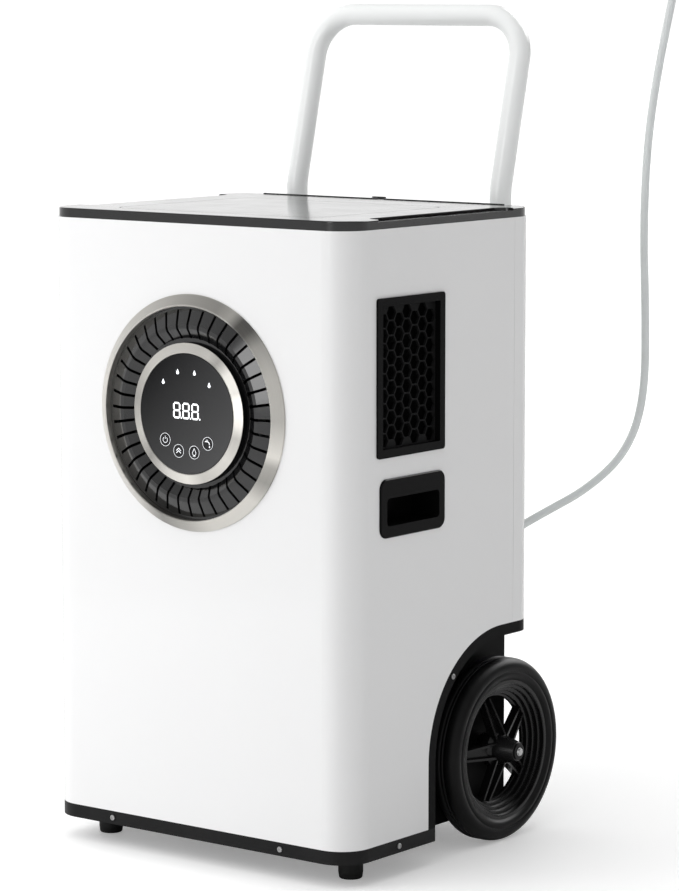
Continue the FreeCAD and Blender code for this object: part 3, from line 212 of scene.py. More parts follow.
# ---- finishes ----
# a sprayed and baked coat: faint cloudiness, orange peel, a clear gloss over it
def paintedSheet(name, colour, gloss, peel, paintedShadeInside=None):
    f = Finish(name)
    cloud = f.noise(3.0, 2.0)
    grain = f.noise(peel, 2.0)
    dust = f.noise(60.0, 4.0)
    tone = f.between(cloud, shade(colour, 0.965), colour)
    if paintedShadeInside:  # painted shade: the inside of the sheet is painted dark grey, for the shaded inside of the cabinet
        middle = (paintedShadeInside["low"] + paintedShadeInside["high"]) / 2
        half = (paintedShadeInside["high"] - paintedShadeInside["low"]) / 2
        front = paintedShadeInside["frontCorner"]
        corner = front - (front - paintedShadeInside["rearCorner"]) * (f.y > middle.y)
        outX = ((f.x - middle.x).size() - half.x + corner).atLeast(0.0)
        outY = ((f.y - middle.y).size() - half.y + corner).atLeast(0.0)
        inside = length(outX, outY) < corner - paintedShadeInside["skin"]
        # painted shade: inside the cabinet's wall the colour turns dark grey
        tone = f.between(inside, tone, rgb(0.035, 0.035, 0.036))
    return f.set(colour=tone, roughness=gloss + 0.07 * dust,
                 coat=0.35 + 0.2 * cloud, coatRoughness=0.06, specular=0.4,
                 normal=f.bump(grain, 0.05, 0.0002))


# moulded plastic: fine sparkle texture, slightly paler where it is rubbed
def moulded(name, colour, rough, grainSize, depth, specular=0.35, coat=0.0):
    f = Finish(name)
    grain = f.noise(grainSize, 3.0, 0.6)
    pits = f.cells(grainSize * 0.6)
    smear = f.noise(14.0, 4.0, 0.6)
    worn = shade(colour, 1.5, 0.0012)
    return f.set(colour=f.between(smear.ramp(0.45, 0.8) * 0.7, colour, worn),
                 roughness=rough + 0.12 * (smear - 0.5) + 0.08 * (grain - 0.5),
                 specular=specular, coat=coat, coatRoughness=0.08,
                 normal=f.bump(grain * 0.6 + pits * 0.4, 0.25, depth))


# metal turned on a lathe: hair lines round the axis, and painted reflections, sweeps of light and
# dark painted into the colour by angle
def turnedMetal(name, centre, paintedSweep, tint):
    f = Finish(name)
    dx = f.x - centre.x
    dz = f.z - centre.z
    radius = length(dx, dz)
    angle = dx.turn(dz) / (2 * math.pi)  # 0 at the top, growing to the right
    share = angle + (angle < 0.0)
    lines = f.noise(1.0, 4.0, 0.7, f.vector(radius * 5200.0, share * 9.0, f.y * 900.0))
    broad = f.noise(1.0, 2.0, 0.5, f.vector(radius * 900.0, share * 5.0, 0.0))
    stops = [(place, tuple(c * level for c in tint)) for place, level in paintedSweep]
    # painted reflections: the colour goes light and dark round the ring by angle
    base = f.add("ShaderNodeValToRGB", {"stops": stops}, {0: share}).outputs[0]
    paler = f.between(0.25, base, rgb(0.9, 0.88, 0.84))
    return f.set(colour=f.between(lines.ramp(0.25, 0.8) * 0.6, base, paler), metallic=1.0,
                 roughness=0.26 + 0.16 * lines + 0.05 * broad, normal=f.bump(lines, 0.16, 0.00012))


# drawn or pressed metal: streaks along one axis, small stains
def plainMetal(name, colour, rough, streak=(40.0, 40.0, 900.0)):
    f = Finish(name)
    lines = f.noise(1.0, 4.0, 0.6, f.stretched(*streak))
    stain = f.noise(25.0, 4.0)
    return f.set(colour=f.between(stain.ramp(0.4, 0.75), colour, shade(colour, 0.72)), metallic=1.0,
                 roughness=rough + 0.18 * lines, normal=f.bump(lines, 0.1, 0.0001))


# a black washer with a bright screw head in it, told apart by the distance from the axle
def boltFinish(name, centre, headRadius):
    f = Finish(name)
    head = length(f.y - centre.y, f.z - centre.z) < headRadius
    grain = f.noise(900.0, 3.0)
    return f.set(colour=f.between(head, rgb(0.006, 0.006, 0.0062), rgb(0.55, 0.55, 0.55)),
                 metallic=head * 1.0, roughness=0.3 + 0.12 * grain, specular=0.2,
                 normal=f.bump(grain, 0.1, 0.0001))


# a gloss black frame with a paler matt lattice inside its border
def latticeFinish(name, low, high, border):
    f = Finish(name)
    middle = (low + high) / 2
    half = (high - low) / 2
    inside = ((f.y - middle.y).size() < half.y - border) * ((f.z - middle.z).size() < half.z - border)
    grain = f.noise(900.0, 3.0)
    return f.set(colour=f.between(inside, rgb(0.0036, 0.0036, 0.0038), rgb(0.011, 0.011, 0.0114)),
                 roughness=0.2 + 0.25 * inside + 0.08 * grain, specular=0.06,
                 normal=f.bump(grain, 0.2, 0.00006))


# tyre rubber: matt, bloom that is greyer in patches, radial mould ticks on the side wall
def tyreRubber(name, centre, ticksFrom, ticksTo):
    f = Finish(name)
    dy = f.y - centre.y
    dz = f.z - centre.z
    radius = length(dy, dz)
    ticks = (dy.turn(dz) * 180.0).sine().ramp(0.2, 0.9) * (radius > ticksFrom) * (radius < ticksTo)
    bloom = f.noise(30.0, 5.0, 0.6)
    grain = f.noise(1400.0, 3.0)
    tone = f.between(bloom.ramp(0.4, 0.75), rgb(0.0048, 0.0048, 0.005), rgb(0.0075, 0.0075, 0.0078))
    return f.set(colour=tone, roughness=0.34 + 0.14 * bloom, specular=0.14,
                 normal=f.bump(grain * 0.35 + ticks * 0.65, 0.35, 0.0002))


# smoked glass with a painted reflection: darker at the upper left, paler towards the lower right, for
# the bright floor reflected low in the glass
def panelFinish(centre, radius):
    f = Finish("smokedPanel")
    rise = ((f.z - centre.z) * 0.7 - (f.x - centre.x) * 0.7) / (2 * radius) + 0.5
    speck = f.noise(2600.0, 2.0)
    # painted reflection: the colour fades from pale to dark across the glass
    paintedReflection = f.add("ShaderNodeValToRGB", {"stops": [(0.0, (0.075, 0.075, 0.076)),
                                                  (0.5, (0.04, 0.04, 0.041)),
                                                  (1.0, (0.004, 0.004, 0.0045))]}, {0: rise})
    tint = f.between(speck * 0.12, paintedReflection.outputs[0], rgb(0.05, 0.05, 0.052))
    return f.set(colour=tint, roughness=0.07 + 0.03 * f.noise(40.0), specular=0.1)


def glowing(name, colour, strength):
    f = Finish(name)
    even = f.noise(900.0, 2.0)
    tone = f.between(even, shade(colour, 0.86), colour)
    return f.set(colour=tone, glow=tone, glowStrength=strength, roughness=0.3)


# a net of crossed threads: its height is the greater of two sine waves set square to each other
def nylonNet(name, pitch, hollow, thread, sideways=False, specular=0.5, sheen=0.2):
    f = Finish(name)
    wave = 2 * math.pi / pitch
    across = ((f.y if sideways else f.x) * wave).sine()
    upward = (f.z * wave).sine()
    height = across.atLeast(upward)
    lint = f.noise(90.0, 4.0)
    return f.set(colour=f.between(height.ramp(0.2, 0.9), hollow, thread),
                 roughness=0.62 + 0.2 * lint, specular=specular, sheen=sheen,
                 normal=f.bump(height, 0.8, 0.0004))


# clear vinyl hose: milky and glossy, with a faint unevenness
def vinyl(name, colour, clear):
    f = Finish(name)
    haze = f.noise(22.0, 3.0)
    return f.set(colour=f.between(haze, shade(colour, 0.93), colour), roughness=0.16 + 0.1 * haze,
                 clear=clear, ior=1.45, specular=0.5,
                 normal=f.bump(f.noise(400.0, 2.0), 0.06, 0.0002))


# circuit board: solder mask with copper tracks under it
def boardFinish(name):
    f = Finish(name)
    tracks = ((f.x * 1500.0).sine() * (f.z * 900.0).sine()).ramp(0.2, 0.4)
    return f.set(colour=f.between(tracks, rgb(0.012, 0.09, 0.045), rgb(0.03, 0.16, 0.07)),
                 roughness=0.38 + 0.1 * f.noise(60.0), normal=f.bump(tracks, 0.3, 0.0001))


# stacked fins: painted highlight on each fin edge and painted shade between the fins, every pitch
# along the machine's width
def finStack(name, colour, pitch):
    f = Finish(name)
    edge = (f.x * (2 * math.pi / pitch)).sine()
    dust = f.noise(40.0, 4.0)
    return f.set(colour=f.between(edge.ramp(-0.2, 0.8), shade(colour, 0.55), colour), metallic=0.9,
                 roughness=0.34 + 0.2 * dust, normal=f.bump(edge, 0.4, 0.0002))


ringLow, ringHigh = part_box("outlet_ring")
podCentre = (ringLow + ringHigh) / 2
glassLow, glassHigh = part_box("panel_glass")
glassFront = glassLow.y
glassRadius = (glassHigh.x - glassLow.x) / 2
shellLow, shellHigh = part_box("cabinet_shell")
sheetHigh = shellHigh.copy()
sheetHigh.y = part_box("rear_panel")[1].y
tyreLow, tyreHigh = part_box("wheel_tyre_right")
wheelCentre = (tyreLow + tyreHigh) / 2

# the cabinet's wrap, whose inside is given painted shade
wrap = {"low": shellLow, "high": sheetHigh, "skin": 0.0006, "frontCorner": 0.039, "rearCorner": 0.029}
detail = {"boltHead": 0.0052, "latticeBorder": 0.0101, "ticksFrom": 0.097, "ticksTo": 0.102}
ringTint = (0.88, 0.855, 0.8)
# each ring's painted reflections, light and dark, as (share of the turn from the top, brightness)
outerPaintedSweep = [(0.0, 0.62), (0.055, 0.5), (0.08, 0.7), (0.098, 0.12), (0.116, 0.12), (0.14, 0.5),
              (0.19, 0.62), (0.25, 0.6), (0.3, 1.0), (0.315, 0.52), (0.34, 0.4), (0.375, 0.85),
              (0.46, 0.78), (0.5, 0.5), (0.55, 0.28), (0.6, 0.7), (0.68, 0.9), (0.78, 0.95),
              (0.9, 0.7), (1.0, 0.62)]
innerPaintedSweep = [(0.0, 0.75), (0.07, 0.6), (0.1, 0.3), (0.14, 0.55), (0.19, 0.5), (0.225, 1.0),
              (0.27, 0.95), (0.3, 0.6), (0.36, 0.8), (0.45, 0.62), (0.5, 0.9), (0.56, 0.75),
              (0.63, 0.35), (0.7, 0.8), (0.78, 0.55), (0.88, 0.82), (1.0, 0.75)]
finishes = {
    "white_paint": paintedSheet("cabinetWhite", rgb(0.86, 0.86, 0.863), 0.2, 900.0, wrap),
    "handle_paint": paintedSheet("handleWhite", rgb(0.95, 0.965, 0.96), 0.26, 1100.0),
    "black_gloss": moulded("polishedBlack", rgb(0.0036, 0.0036, 0.0038), 0.2, 1200.0, 0.00005, 0.06),
    "black_satin": moulded("grainedBlack", rgb(0.0045, 0.0045, 0.0047), 0.4, 900.0, 0.0003, 0.05),
    "brushed_nickel": turnedMetal("spunNickel", podCentre, outerPaintedSweep, ringTint),
    "panel_glass": panelFinish(podCentre, glassRadius),
    "key_black": moulded("keyBlack", rgb(0.02, 0.02, 0.021), 0.2, 1500.0, 0.00004, 0.2),
    "light_white": glowing("pilotWhite", rgb(0.92, 0.95, 1.0), 1.4),
    "board_green": boardFinish("boardGreen"),
    "tyre_rubber": tyreRubber("tyreBlack", wheelCentre, detail["ticksFrom"], detail["ticksTo"]),
    "foot_rubber": moulded("footRubber", rgb(0.008, 0.008, 0.008), 0.55, 1500.0, 0.0003, 0.2),
    "wheel_plastic": moulded("rimBlack", rgb(0.0042, 0.0042, 0.0044), 0.26, 1300.0, 0.0001, 0.3),
    "zinc_steel": plainMetal("zincSteel", rgb(0.62, 0.63, 0.64), 0.3),
    "screw_steel": plainMetal("screwSteel", rgb(0.42, 0.42, 0.42), 0.28, (900.0, 900.0, 900.0)),
    "filter_plastic": moulded("filterBlack", rgb(0.016, 0.016, 0.017), 0.45, 1000.0, 0.0002),
    "filter_cloth": nylonNet("filterNet", 0.0016, rgb(0.016, 0.017, 0.018), rgb(0.16, 0.17, 0.18)),
    "hose_vinyl": vinyl("clearVinyl", rgb(0.86, 0.89, 0.89), 0.25),
    "aluminium_fin": finStack("finStock", rgb(0.78, 0.79, 0.8), 0.0021),
    "copper": plainMetal("copperTube", rgb(0.72, 0.36, 0.2), 0.22),
    "compressor_black": paintedSheet("enamelBlack", rgb(0.02, 0.02, 0.022), 0.3, 700.0),
    "tank_plastic": moulded("tankNatural", rgb(0.6, 0.62, 0.6), 0.4, 800.0, 0.0002),
    "fan_plastic": moulded("fanBlack", rgb(0.03, 0.03, 0.032), 0.42, 900.0, 0.0002),
}
# nodes that look unlike the rest of their slot
ownFinish = {
    "pod_ring": turnedMetal("spunInnerRing", podCentre, innerPaintedSweep, ringTint),
    "louvre": moulded("louvreBlack", rgb(0.007, 0.007, 0.0074), 0.13, 1400.0, 0.00003, 0.5, 0.6),
    "base_tray": moulded("trayBlack", rgb(0.0075, 0.0075, 0.0078), 0.42, 900.0, 0.0003, 0.16),
    "side_grilles": latticeFinish("grilleBlack", *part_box("side_grilles"), detail["latticeBorder"]),
    "axle_ends": boltFinish("boltEnds", wheelCentre, detail["boltHead"]),
    "top_cover": moulded("coverBlack", rgb(0.0065, 0.0065, 0.007), 0.16, 1200.0, 0.00004, 0.5, 0.3),
}


def dress(piece, finish):
    piece.data.materials.clear()
    piece.data.materials.append(finish)


slotOf = {entry["node"]: entry["material_slot"]
          for entry in frame["record"]["subparts"]}
for name, node in nodes.items():
    dress(node, ownFinish.get(name) or finishes[slotOf[name]])
print("finishes:", len(finishes) + len(ownFinish))


# ---- surfaces from numbers ----
def placed(name, data):
    piece = bpy.data.objects.new(name, data)
    scene.collection.objects.link(piece)
    return piece


def meshPiece(name, verts, faces, smooth=False):
    mesh = bpy.data.meshes.new(name)
    mesh.from_pydata(verts, [], faces)
    mesh.polygons.foreach_set("use_smooth", np.full(len(faces), smooth))
    mesh.update()
    return placed(name, mesh)


# a mesh from a grid of points: wrapU joins the last row to the first, wrapV the last column
def gridPiece(name, points, wrapU=False, wrapV=False):
    rows, columns = points.shape[:2]
    index = np.arange(rows * columns).reshape(rows, columns)
    if wrapU:
        index = np.vstack([index, index[:1]])
    if wrapV:
        index = np.hstack([index, index[:, :1]])
    faces = np.stack([index[:-1, :-1], index[:-1, 1:], index[1:, 1:], index[1:, :-1]], axis=-1)
    return meshPiece(name, points.reshape(-1, 3).tolist(), faces.reshape(-1, 4).tolist(), True)


# a flat print: outline loops in the panel's plane given a small thickness towards the front
def printPiece(name, loops, front, thick):
    verts = []
    faces = []
    for loop in loops:
        loop = np.asarray(loop, float)
        count = len(loop)
        start = len(verts)
        for depth in (front, front + thick):
            verts += np.column_stack([loop[:, 0], np.full(count, depth), loop[:, 1]]).tolist()
        faces.append([start + i for i in range(count)])
        faces.append([start + count + i for i in reversed(range(count))])
        for i in range(count):
            j = (i + 1) % count
            faces.append([start + j, start + i, start + count + i, start + count + j])
    return meshPiece(name, verts, faces)


# a thin upright sheet facing sideways, inside the border of the box from low to high
def sheetPiece(name, x, thick, low, high, border):
    front, rear = low.y + border, high.y - border
    foot, top = low.z + border, high.z - border
    square = np.array([[front, foot], [rear, foot], [rear, top], [front, top]])
    verts = np.vstack([np.column_stack([np.full(4, x + shift), square])
                       for shift in (-thick / 2, thick / 2)])
    faces = [(0, 3, 2, 1), (4, 5, 6, 7)]
    for i in range(4):
        j = (i + 1) % 4
        faces.append((i, j, j + 4, i + 4))
    return meshPiece(name, verts.tolist(), faces)


# a stroke of one width along points, with its ends square, as quads joined end to end
def stroke(points, width, closed=False):
    points = np.asarray(points, float)
    if closed:
        along = np.roll(points, -1, axis=0) - np.roll(points, 1, axis=0)
    else:
        along = np.gradient(points, axis=0)
    along /= np.linalg.norm(along, axis=1)[:, None]
    side = np.column_stack([-along[:, 1], along[:, 0]]) * width / 2
    left = points + side
    right = points - side
    count = len(points)
    last = count if closed else count - 1
    return [[left[i], right[i], right[(i + 1) % count], left[(i + 1) % count]]
            for i in range(last)]


def arcPoints(x, z, radius, start, end, count):
    turn = np.radians(np.linspace(start, end, count))
    return np.column_stack([x + radius * np.cos(turn), z + radius * np.sin(turn)])


# ---- figures on the display ----
display = {"height": 0.0195, "width": 0.0112, "pitch": 0.0142, "rise": 0.0035, "bar": 0.0021,
           "gap": 0.0004, "point": 0.0011, "shift": -0.0006, "proud": 0.00012, "thick": 0.0001}


# one bar of a figure: a line from a to b drawn as a long hexagon
def bar(ax, az, bx, bz, width):
    a = np.array([ax, az])
    b = np.array([bx, bz])
    along = (b - a) / np.linalg.norm(b - a)
    side = np.array([-along[1], along[0]]) * width / 2
    cut = along * width / 2
    return [a, a + cut + side, b - cut + side, b, b - cut - side, a + cut - side]


def eightFigure(x, z):
    width = display["bar"]
    wide = (display["width"] - width) / 2
    tall = (display["height"] - width) / 2
    gap = display["gap"]
    loops = []
    for level in (-tall, 0, tall):
        loops.append(bar(x - wide + gap, z + level, x + wide - gap, z + level, width))
    for edge in (x - wide, x + wide):
        loops.append(bar(edge, z - tall + gap, edge, z - gap, width))
        loops.append(bar(edge, z + gap, edge, z + tall - gap, width))
    point = arcPoints(x + display["pitch"] / 2, z - tall, display["point"], 0, 330, 12)
    loops.append(point.tolist())
    return loops


def ordered(loop):
    # anticlockwise seen from the front, so that the face points that way
    loop = np.asarray(loop, float)
    x, z = loop[:, 0], loop[:, 1]
    area = np.sum(x * np.roll(z, -1) - np.roll(x, -1) * z)
    return loop if area > 0 else loop[::-1]


figureLoops = []
for step in (-1, 0, 1):
    figureLoops += eightFigure(podCentre.x + display["shift"] + step * display["pitch"],
                               podCentre.z + display["rise"])
figures = printPiece("displayFigures", [ordered(loop) for loop in figureLoops],
                     glassFront - display["proud"], display["thick"])
dress(figures, glowing("figureGlow", rgb(0.97, 0.98, 1.0), 1.25))
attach(figures, "cabinet")

# ---- drop-shaped pilot lights ----
pilot = {"circle": 0.0504, "angles": (-45, -15, 15, 45), "radius": 0.00195, "tip": 0.0042,
         "proud": 0.00035, "thick": 0.0005}


# a drop: a circle whose upper half is drawn up to the tip and pinched towards it
def dropLoop(x, z, radius, tip, pinch=0.55, count=34):
    turn = np.radians(np.linspace(-90, 250, count + 1)[:-1])
    up = np.clip(np.sin(turn), 0, 1)
    across = radius * np.cos(turn) * (1 - pinch * up ** 2)
    rise = radius * np.sin(turn) + (tip - radius) * up ** 3
    return np.column_stack([x + across, z + rise])


pilotLoops = []
for angle in pilot["angles"]:
    turn = math.radians(angle)
    pilotLoops.append(dropLoop(podCentre.x + pilot["circle"] * math.sin(turn),
                               podCentre.z + pilot["circle"] * math.cos(turn),
                               pilot["radius"], pilot["tip"]))
pilots = printPiece("pilotDrops", [ordered(loop) for loop in pilotLoops],
                    glassFront - pilot["proud"], pilot["thick"])
dress(pilots, finishes["light_white"])
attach(pilots, "cabinet")

# ---- marks on the four keys ----
keyMark = {"circle": 0.0078, "line": 0.00042, "icon": 0.00058, "proud": 0.00012, "thick": 0.0001}
power = {"radius": 0.0034, "rise": -0.0003, "turn": (125, 415), "stem": (0.0008, 0.0025, 0.0043)}
chevron = {"across": 0.0017, "step": 0.0015, "rises": (-0.0026, 0.0004), "bold": 1.5}
drip = {"rise": -0.0009, "radius": 0.0027, "tip": 0.0056, "lines": (-0.0013, 0.0, 0.0013),
        "line": (-0.0052, -0.0045, -0.0038)}
tap = {"spout": (-0.0008, -0.0012), "bend": 0.0036, "pipe": (-0.0042, -0.0026, -0.0011),
       "pipeRise": 0.0024, "lever": (-0.0026, -0.0012, 0.0004), "leverRise": 0.0042,
       "drop": (0.0029, -0.0039), "dropRadius": 0.0009, "dropTip": 0.0021, "bold": 1.7}


def powerIcon(x, z):
    ring = arcPoints(x, z + power["rise"], power["radius"], *power["turn"], 30)
    stem = [(x, z + rise) for rise in power["stem"]]
    return stroke(ring, keyMark["icon"]) + stroke(stem, keyMark["icon"])


def chevronIcon(x, z):
    width = keyMark["icon"] * chevron["bold"]
    across = chevron["across"]
    loops = []
    for rise in chevron["rises"]:
        foot, middle, top = [z + rise + chevron["step"] * count for count in range(3)]
        loops += stroke([(x - 2 * across, foot), (x - across, middle), (x, top)], width)
        loops += stroke([(x, top), (x + across, middle), (x + 2 * across, foot)], width)
    return loops


def dropIcon(x, z):
    edge = dropLoop(x, z + drip["rise"], drip["radius"], drip["tip"])
    loops = stroke(edge, keyMark["icon"], True)
    for shift in drip["lines"]:
        loops += stroke([(x + shift, z + rise) for rise in drip["line"]], keyMark["icon"])
    return loops


def tapIcon(x, z):
    bold = keyMark["icon"] * tap["bold"]
    bendX, bendZ = tap["spout"]
    dropX, dropZ = tap["drop"]
    loops = stroke(arcPoints(x + bendX, z + bendZ, tap["bend"], 0, 95, 14), bold)
    loops += stroke([(x + shift, z + tap["pipeRise"]) for shift in tap["pipe"]], bold)
    loops += stroke([(x + shift, z + tap["leverRise"]) for shift in tap["lever"]], keyMark["icon"])
    loops.append(dropLoop(x + dropX, z + dropZ, tap["dropRadius"], tap["dropTip"]))
    return loops


keyIcons = {"key_power": powerIcon, "key_up": chevronIcon, "key_dry": dropIcon, "key_pump": tapIcon}
# painted light: the printed key marks glow as though lit, though they are print and not lamps
markPaintedGlow = glowing("markWhitePaintedGlow", rgb(0.88, 0.9, 0.93), 0.72)
for key, icon in keyIcons.items():
    low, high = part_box(key)
    x = (low.x + high.x) / 2
    z = (low.z + high.z) / 2
    loops = icon(x, z) + stroke(arcPoints(x, z, keyMark["circle"], 0, 354, 60), keyMark["line"], True)
    mark = printPiece("mark" + key[4:].capitalize(), [ordered(loop) for loop in loops],
                      low.y - keyMark["proud"], keyMark["thick"])
    dress(mark, markPaintedGlow)
    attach(mark, key)
print("panel: figures, pilot drops and key marks")

# ---- tyres, with rounded shoulders and three ribs round the tread ----
tyre = {"seat": 0.0871, "bead": 0.006, "beadInset": 0.003, "shoulder": 0.012, "arcSteps": 14,
        "groove": 0.0018, "grooveWidth": 0.002, "ring": 0.097, "ringWidth": 0.0016,
        "ringDepth": 0.0005, "around": 180}


# half of the tyre's section, as (radius, distance in from the face), from the rim to mid tread
def tyreHalf(radius, width):
    turn = np.radians(np.linspace(0, 90, tyre["arcSteps"]))
    r = radius - tyre["shoulder"] * (1 - np.sin(turn))
    x = tyre["shoulder"] * (1 - np.cos(turn))
    ring = tyre["ring"] + tyre["ringWidth"] * np.array([0, 0.25, 0.75, 1.0])
    rib = width / 2 - tyre["shoulder"] - (width - 2 * tyre["shoulder"]) / 6
    edge = tyre["shoulder"] + rib - tyre["grooveWidth"] / 2
    groove = edge + tyre["grooveWidth"] * np.array([0.0, 0.15, 0.85, 1.0])
    radii = np.concatenate([[tyre["seat"], tyre["seat"] + tyre["bead"]], ring, r,
                            radius - tyre["groove"] * np.array([0, 1.0, 1.0, 0]), [radius]])
    insets = np.concatenate([[tyre["beadInset"], 0.0], tyre["ringDepth"] * np.array([0, 1.0, 1.0, 0]),
                             x, groove, [width / 2]])
    return radii, insets


for side in ("left", "right"):
    low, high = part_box("wheel_tyre_" + side)
    width = high.x - low.x
    radii, insets = tyreHalf((high.z - low.z) / 2, width)
    sectionR = np.concatenate([radii, radii[-2::-1]])
    sectionX = low.x + np.concatenate([insets, width - insets[-2::-1]])
    turn = 2 * np.pi * np.arange(tyre["around"]) / tyre["around"]
    grid = np.stack([np.repeat(sectionX[:, None], tyre["around"], axis=1),
                     (low.y + high.y) / 2 + np.outer(sectionR, np.sin(turn)),
                     (low.z + high.z) / 2 + np.outer(sectionR, np.cos(turn))], axis=-1)
    piece = gridPiece("tyre" + side.capitalize(), grid, wrapU=True, wrapV=True)
    dress(piece, finishes["tyre_rubber"])
    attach(piece, "wheel_" + side)
    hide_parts("wheel_tyre_" + side)
print("tyres turned")

# ---- filter net, stretched over the cassette's bars ----
net = {"thick": 0.0008, "sag": 0.0006, "cellsX": 4, "cellsZ": 4, "pointsX": 33, "pointsZ": 65,
       "edge": 0.0004}
low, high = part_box("filter_mesh")
u = np.linspace(0, 1, net["pointsX"])
v = np.linspace(0, 1, net["pointsZ"])
# the net sinks between the bars: product of two sines, one per bay each way
sag = net["sag"] * np.abs(np.outer(np.sin(np.pi * net["cellsZ"] * v),
                                   np.sin(np.pi * net["cellsX"] * u)))
netGrid = np.stack(np.broadcast_arrays(
    low.x + net["edge"] + (high.x - low.x - 2 * net["edge"]) * u[None, :],
    high.y - net["thick"] - sag,
    (low.z + net["edge"] + (high.z - low.z - 2 * net["edge"]) * v)[:, None]), axis=-1)
filterNet = gridPiece("filterNet", netGrid)
thicken = filterNet.modifiers.new("thickness", "SOLIDIFY")
thicken.thickness = net["thick"]
thicken.offset = 0.0
dress(filterNet, finishes["filter_cloth"])
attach(filterNet, "filter")
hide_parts("filter_mesh")

# ---- dust gauze behind each side grille, near black as painted shade in the grille's holes ----
gauze = {"depth": 0.0095, "thick": 0.0006, "border": 0.0056}
# a gauze behind the grille, its colour set near black: painted shade in the grille's holes
shadedGauzeFinish = nylonNet("sideGauze", 0.0012, rgb(0.0006, 0.0006, 0.0006), rgb(0.0016, 0.0016, 0.0017),
                       sideways=True, specular=0.02, sheen=0.0)
low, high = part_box("side_grilles")
for sign, side in ((-1, "Left"), (1, "Right")):
    piece = sheetPiece("gauze" + side, sign * (shellHigh.x - gauze["depth"]), gauze["thick"],
                       low, high, gauze["border"])
    dress(piece, shadedGauzeFinish)
    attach(piece, "cabinet")
print("filter net and side gauzes")

# ---- drain hose ----
hose = {"diameter": 0.010, "length": 0.862, "segments": 10, "roundness": 6}
hoseRoute = [
    (0.138, 0.1729325, 0.350), (0.138, 0.1969325, 0.350), (0.142, 0.2259325, 0.362),
    (0.159, 0.2679325, 0.381), (0.194, 0.3289325, 0.412), (0.2215, 0.3764325, 0.458),
    (0.2335, 0.3969325, 0.527), (0.233, 0.3969325, 0.640), (0.231, 0.3929325, 0.745),
    (0.2335, 0.3969325, 0.860), (0.242, 0.4119325, 0.965), (0.253, 0.4309325, 1.062),
]
hoseCurve = bpy.data.curves.new("drainHose", "CURVE")
hoseCurve.dimensions = "3D"
line = hoseCurve.splines.new("NURBS")
line.points.add(len(hoseRoute) - 1)
for point, place in zip(line.points, hoseRoute):
    point.co = (*place, 1.0)
line.order_u = 3
line.use_endpoint_u = True
line.resolution_u = hose["segments"]
hoseCurve.bevel_depth = hose["diameter"] / 2
hoseCurve.bevel_resolution = hose["roundness"]
hoseCurve.use_fill_caps = True
hosePiece = placed("drainHose", hoseCurve)
dress(hosePiece, finishes["hose_vinyl"])
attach(hosePiece, "cabinet")
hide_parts("drain_hose")
print("hose laid")

# ---- studio ----
studio = {"floorRadius": 60.0, "floorTone": 0.9, "floorLift": 0.27, "fill": 0.45,
          "overhead": 1.25, "overheadFrom": (-0.3, -0.2, 0.93), "overheadSpread": 84.0,
          "keyFrom": (-1.2, -1.5, 0.9), "keySize": (1.0, 1.4), "keyPower": 12.0,
          "softbox": 4.0, "strip": 6.0, "flag": 0.85, "backdrop": 1.05,
          "behind": 0.62, "left": 0.35, "right": -0.17, "frontRight": 0.34}


def aimed(lamp, place, target):
    way = np.array(target, float) - np.array(place, float)
    lamp.location = place
    flat = math.hypot(way[0], way[1])
    lamp.rotation_euler = (math.pi / 2 + math.atan2(way[2], flat), 0, math.atan2(-way[0], way[1]))


rim = np.radians(np.arange(0, 360, 5))
rings = np.array([0.001, 0.5, 2.0, 8.0, studio["floorRadius"]])
floorGrid = np.stack([np.outer(rings, np.cos(rim)), np.outer(rings, np.sin(rim)),
                      np.zeros((len(rings), len(rim)))], axis=-1)
floor = gridPiece("floor", floorGrid, wrapV=True)
floorFinish = Finish("paleFloor")
haze = floorFinish.noise(1.5, 2.0)
paint = rgb(*[studio["floorTone"]] * 3)
seen = Value(floorFinish.tree, floorFinish.add("ShaderNodeLightPath").outputs["Is Camera Ray"])
dress(floor, floorFinish.set(colour=floorFinish.between(haze, paint, shade(paint, 0.99)),
                             roughness=0.55, specular=0.1, glowStrength=studio["floorLift"],
                             glow=floorFinish.between(seen, rgb(0, 0, 0), rgb(1, 1, 1))))

overhead = bpy.data.lights.new("overhead", "SUN")
overhead.energy = studio["overhead"]
overhead.angle = math.radians(studio["overheadSpread"])
overheadLamp = placed("overhead", overhead)
aimed(overheadLamp, studio["overheadFrom"], (0, 0, 0))
overheadLamp.visible_glossy = False

keyLight = bpy.data.lights.new("frontSoftbox", "AREA")
keyLight.shape = "RECTANGLE"
keyLight.size, keyLight.size_y = studio["keySize"]
keyLight.energy = studio["keyPower"]
keyLamp = placed("frontSoftbox", keyLight)
keyLamp.visible_glossy = False
aimed(keyLamp, studio["keyFrom"], (0, 0, 0.5))

world = bpy.data.worlds.new("softRoom")
scene.world = world
world.use_nodes = True
room = Finish("softRoom", world.node_tree)
room.tree.nodes.clear()
way = room.add("ShaderNodeTexCoord").outputs["Generated"]
apart = room.add("ShaderNodeSeparateXYZ", {}, {0: way})
wx, wy, wz = [Value(room.tree, out) for out in apart.outputs]
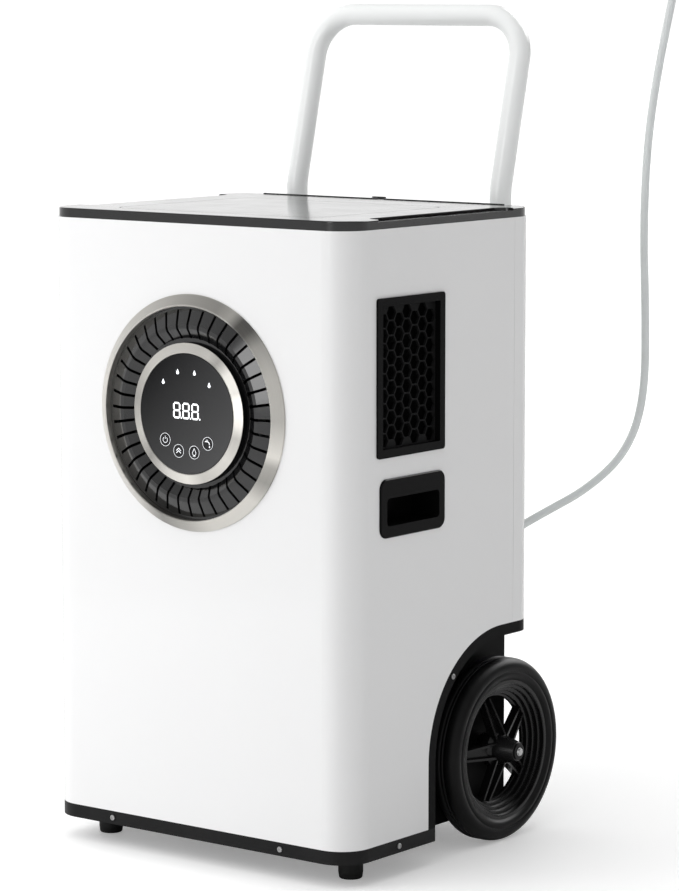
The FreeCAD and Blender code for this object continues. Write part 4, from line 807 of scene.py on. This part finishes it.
# each side of the room as a soft patch: a direction's share, kept to a band of heights
behind = (-0.61 * wx + 0.79 * wy).ramp(0.55, 0.95) * (1.0 - wz.ramp(0.3, 0.6))
leftSide = (-0.9 * wx - 0.2 * wy).ramp(0.2, 0.9) * (1.0 - wz.ramp(0.45, 0.8))
rightSide = (0.75 * wx + 0.65 * wy).ramp(0.2, 0.8)
frontRight = (0.75 * wx - 0.66 * wy).ramp(0.4, 1.0) * (1.0 - wz.ramp(0.5, 0.8))
light = studio["fill"] + studio["behind"] * behind + studio["left"] * leftSide \
    + studio["right"] * rightSide + studio["frontRight"] * frontRight
direct = Value(room.tree, room.add("ShaderNodeLightPath").outputs["Is Camera Ray"])
mirrored = Value(room.tree, room.add("ShaderNodeLightPath").outputs["Is Glossy Ray"])
# a softbox straight in front, which only glossy surfaces show: its bearing and its height
bearing = wx.turn(0.0 - wy)
softbox = (bearing + 0.27).ramp(0.0, 0.06) * (1.0 - (bearing - 0.02).ramp(0.0, 0.06)) \
    * (wz + 0.2).ramp(0.0, 0.08) * (1.0 - (wz - 0.4).ramp(0.0, 0.1))
# a dark flag behind on the right and a strip light high behind, again only for glossy surfaces
flag = (0.64 * wx + 0.757 * wy).ramp(0.6, 0.95) * (1.0 - wz.ramp(0.3, 0.5))
strip = (0.1 * wx + 0.76 * wy + 0.63 * wz).ramp(0.86, 0.96)
strength = light * (1.0 - direct) * (1.0 - studio["flag"] * mirrored * flag) \
    + direct * studio["backdrop"] + mirrored * (studio["softbox"] * softbox + studio["strip"] * strip)
back = room.add("ShaderNodeBackground", {}, {"Color": rgb(1, 1, 1), "Strength": strength})
room.add("ShaderNodeOutputWorld", {}, {"Surface": back.outputs[0]})

view = {"place": (2.70293, -3.41512, 1.05687), "turn": 37.59, "tilt": 7.47,
        "lens": 142.81, "sensor": 36.0, "shift": -0.0219, "farthest": 500.0}
lens = bpy.data.cameras.new("studioCamera")
lens.lens = view["lens"]
lens.sensor_width = view["sensor"]
lens.shift_x = view["shift"]
lens.clip_end = view["farthest"]
camera = placed("studioCamera", lens)
camera.location = view["place"]
camera.rotation_euler = (math.radians(90 - view["tilt"]), 0, math.radians(view["turn"]))
scene.camera = camera
scene.view_settings.view_transform = "Standard"
print("studio set")

bpy.context.view_layer.update()
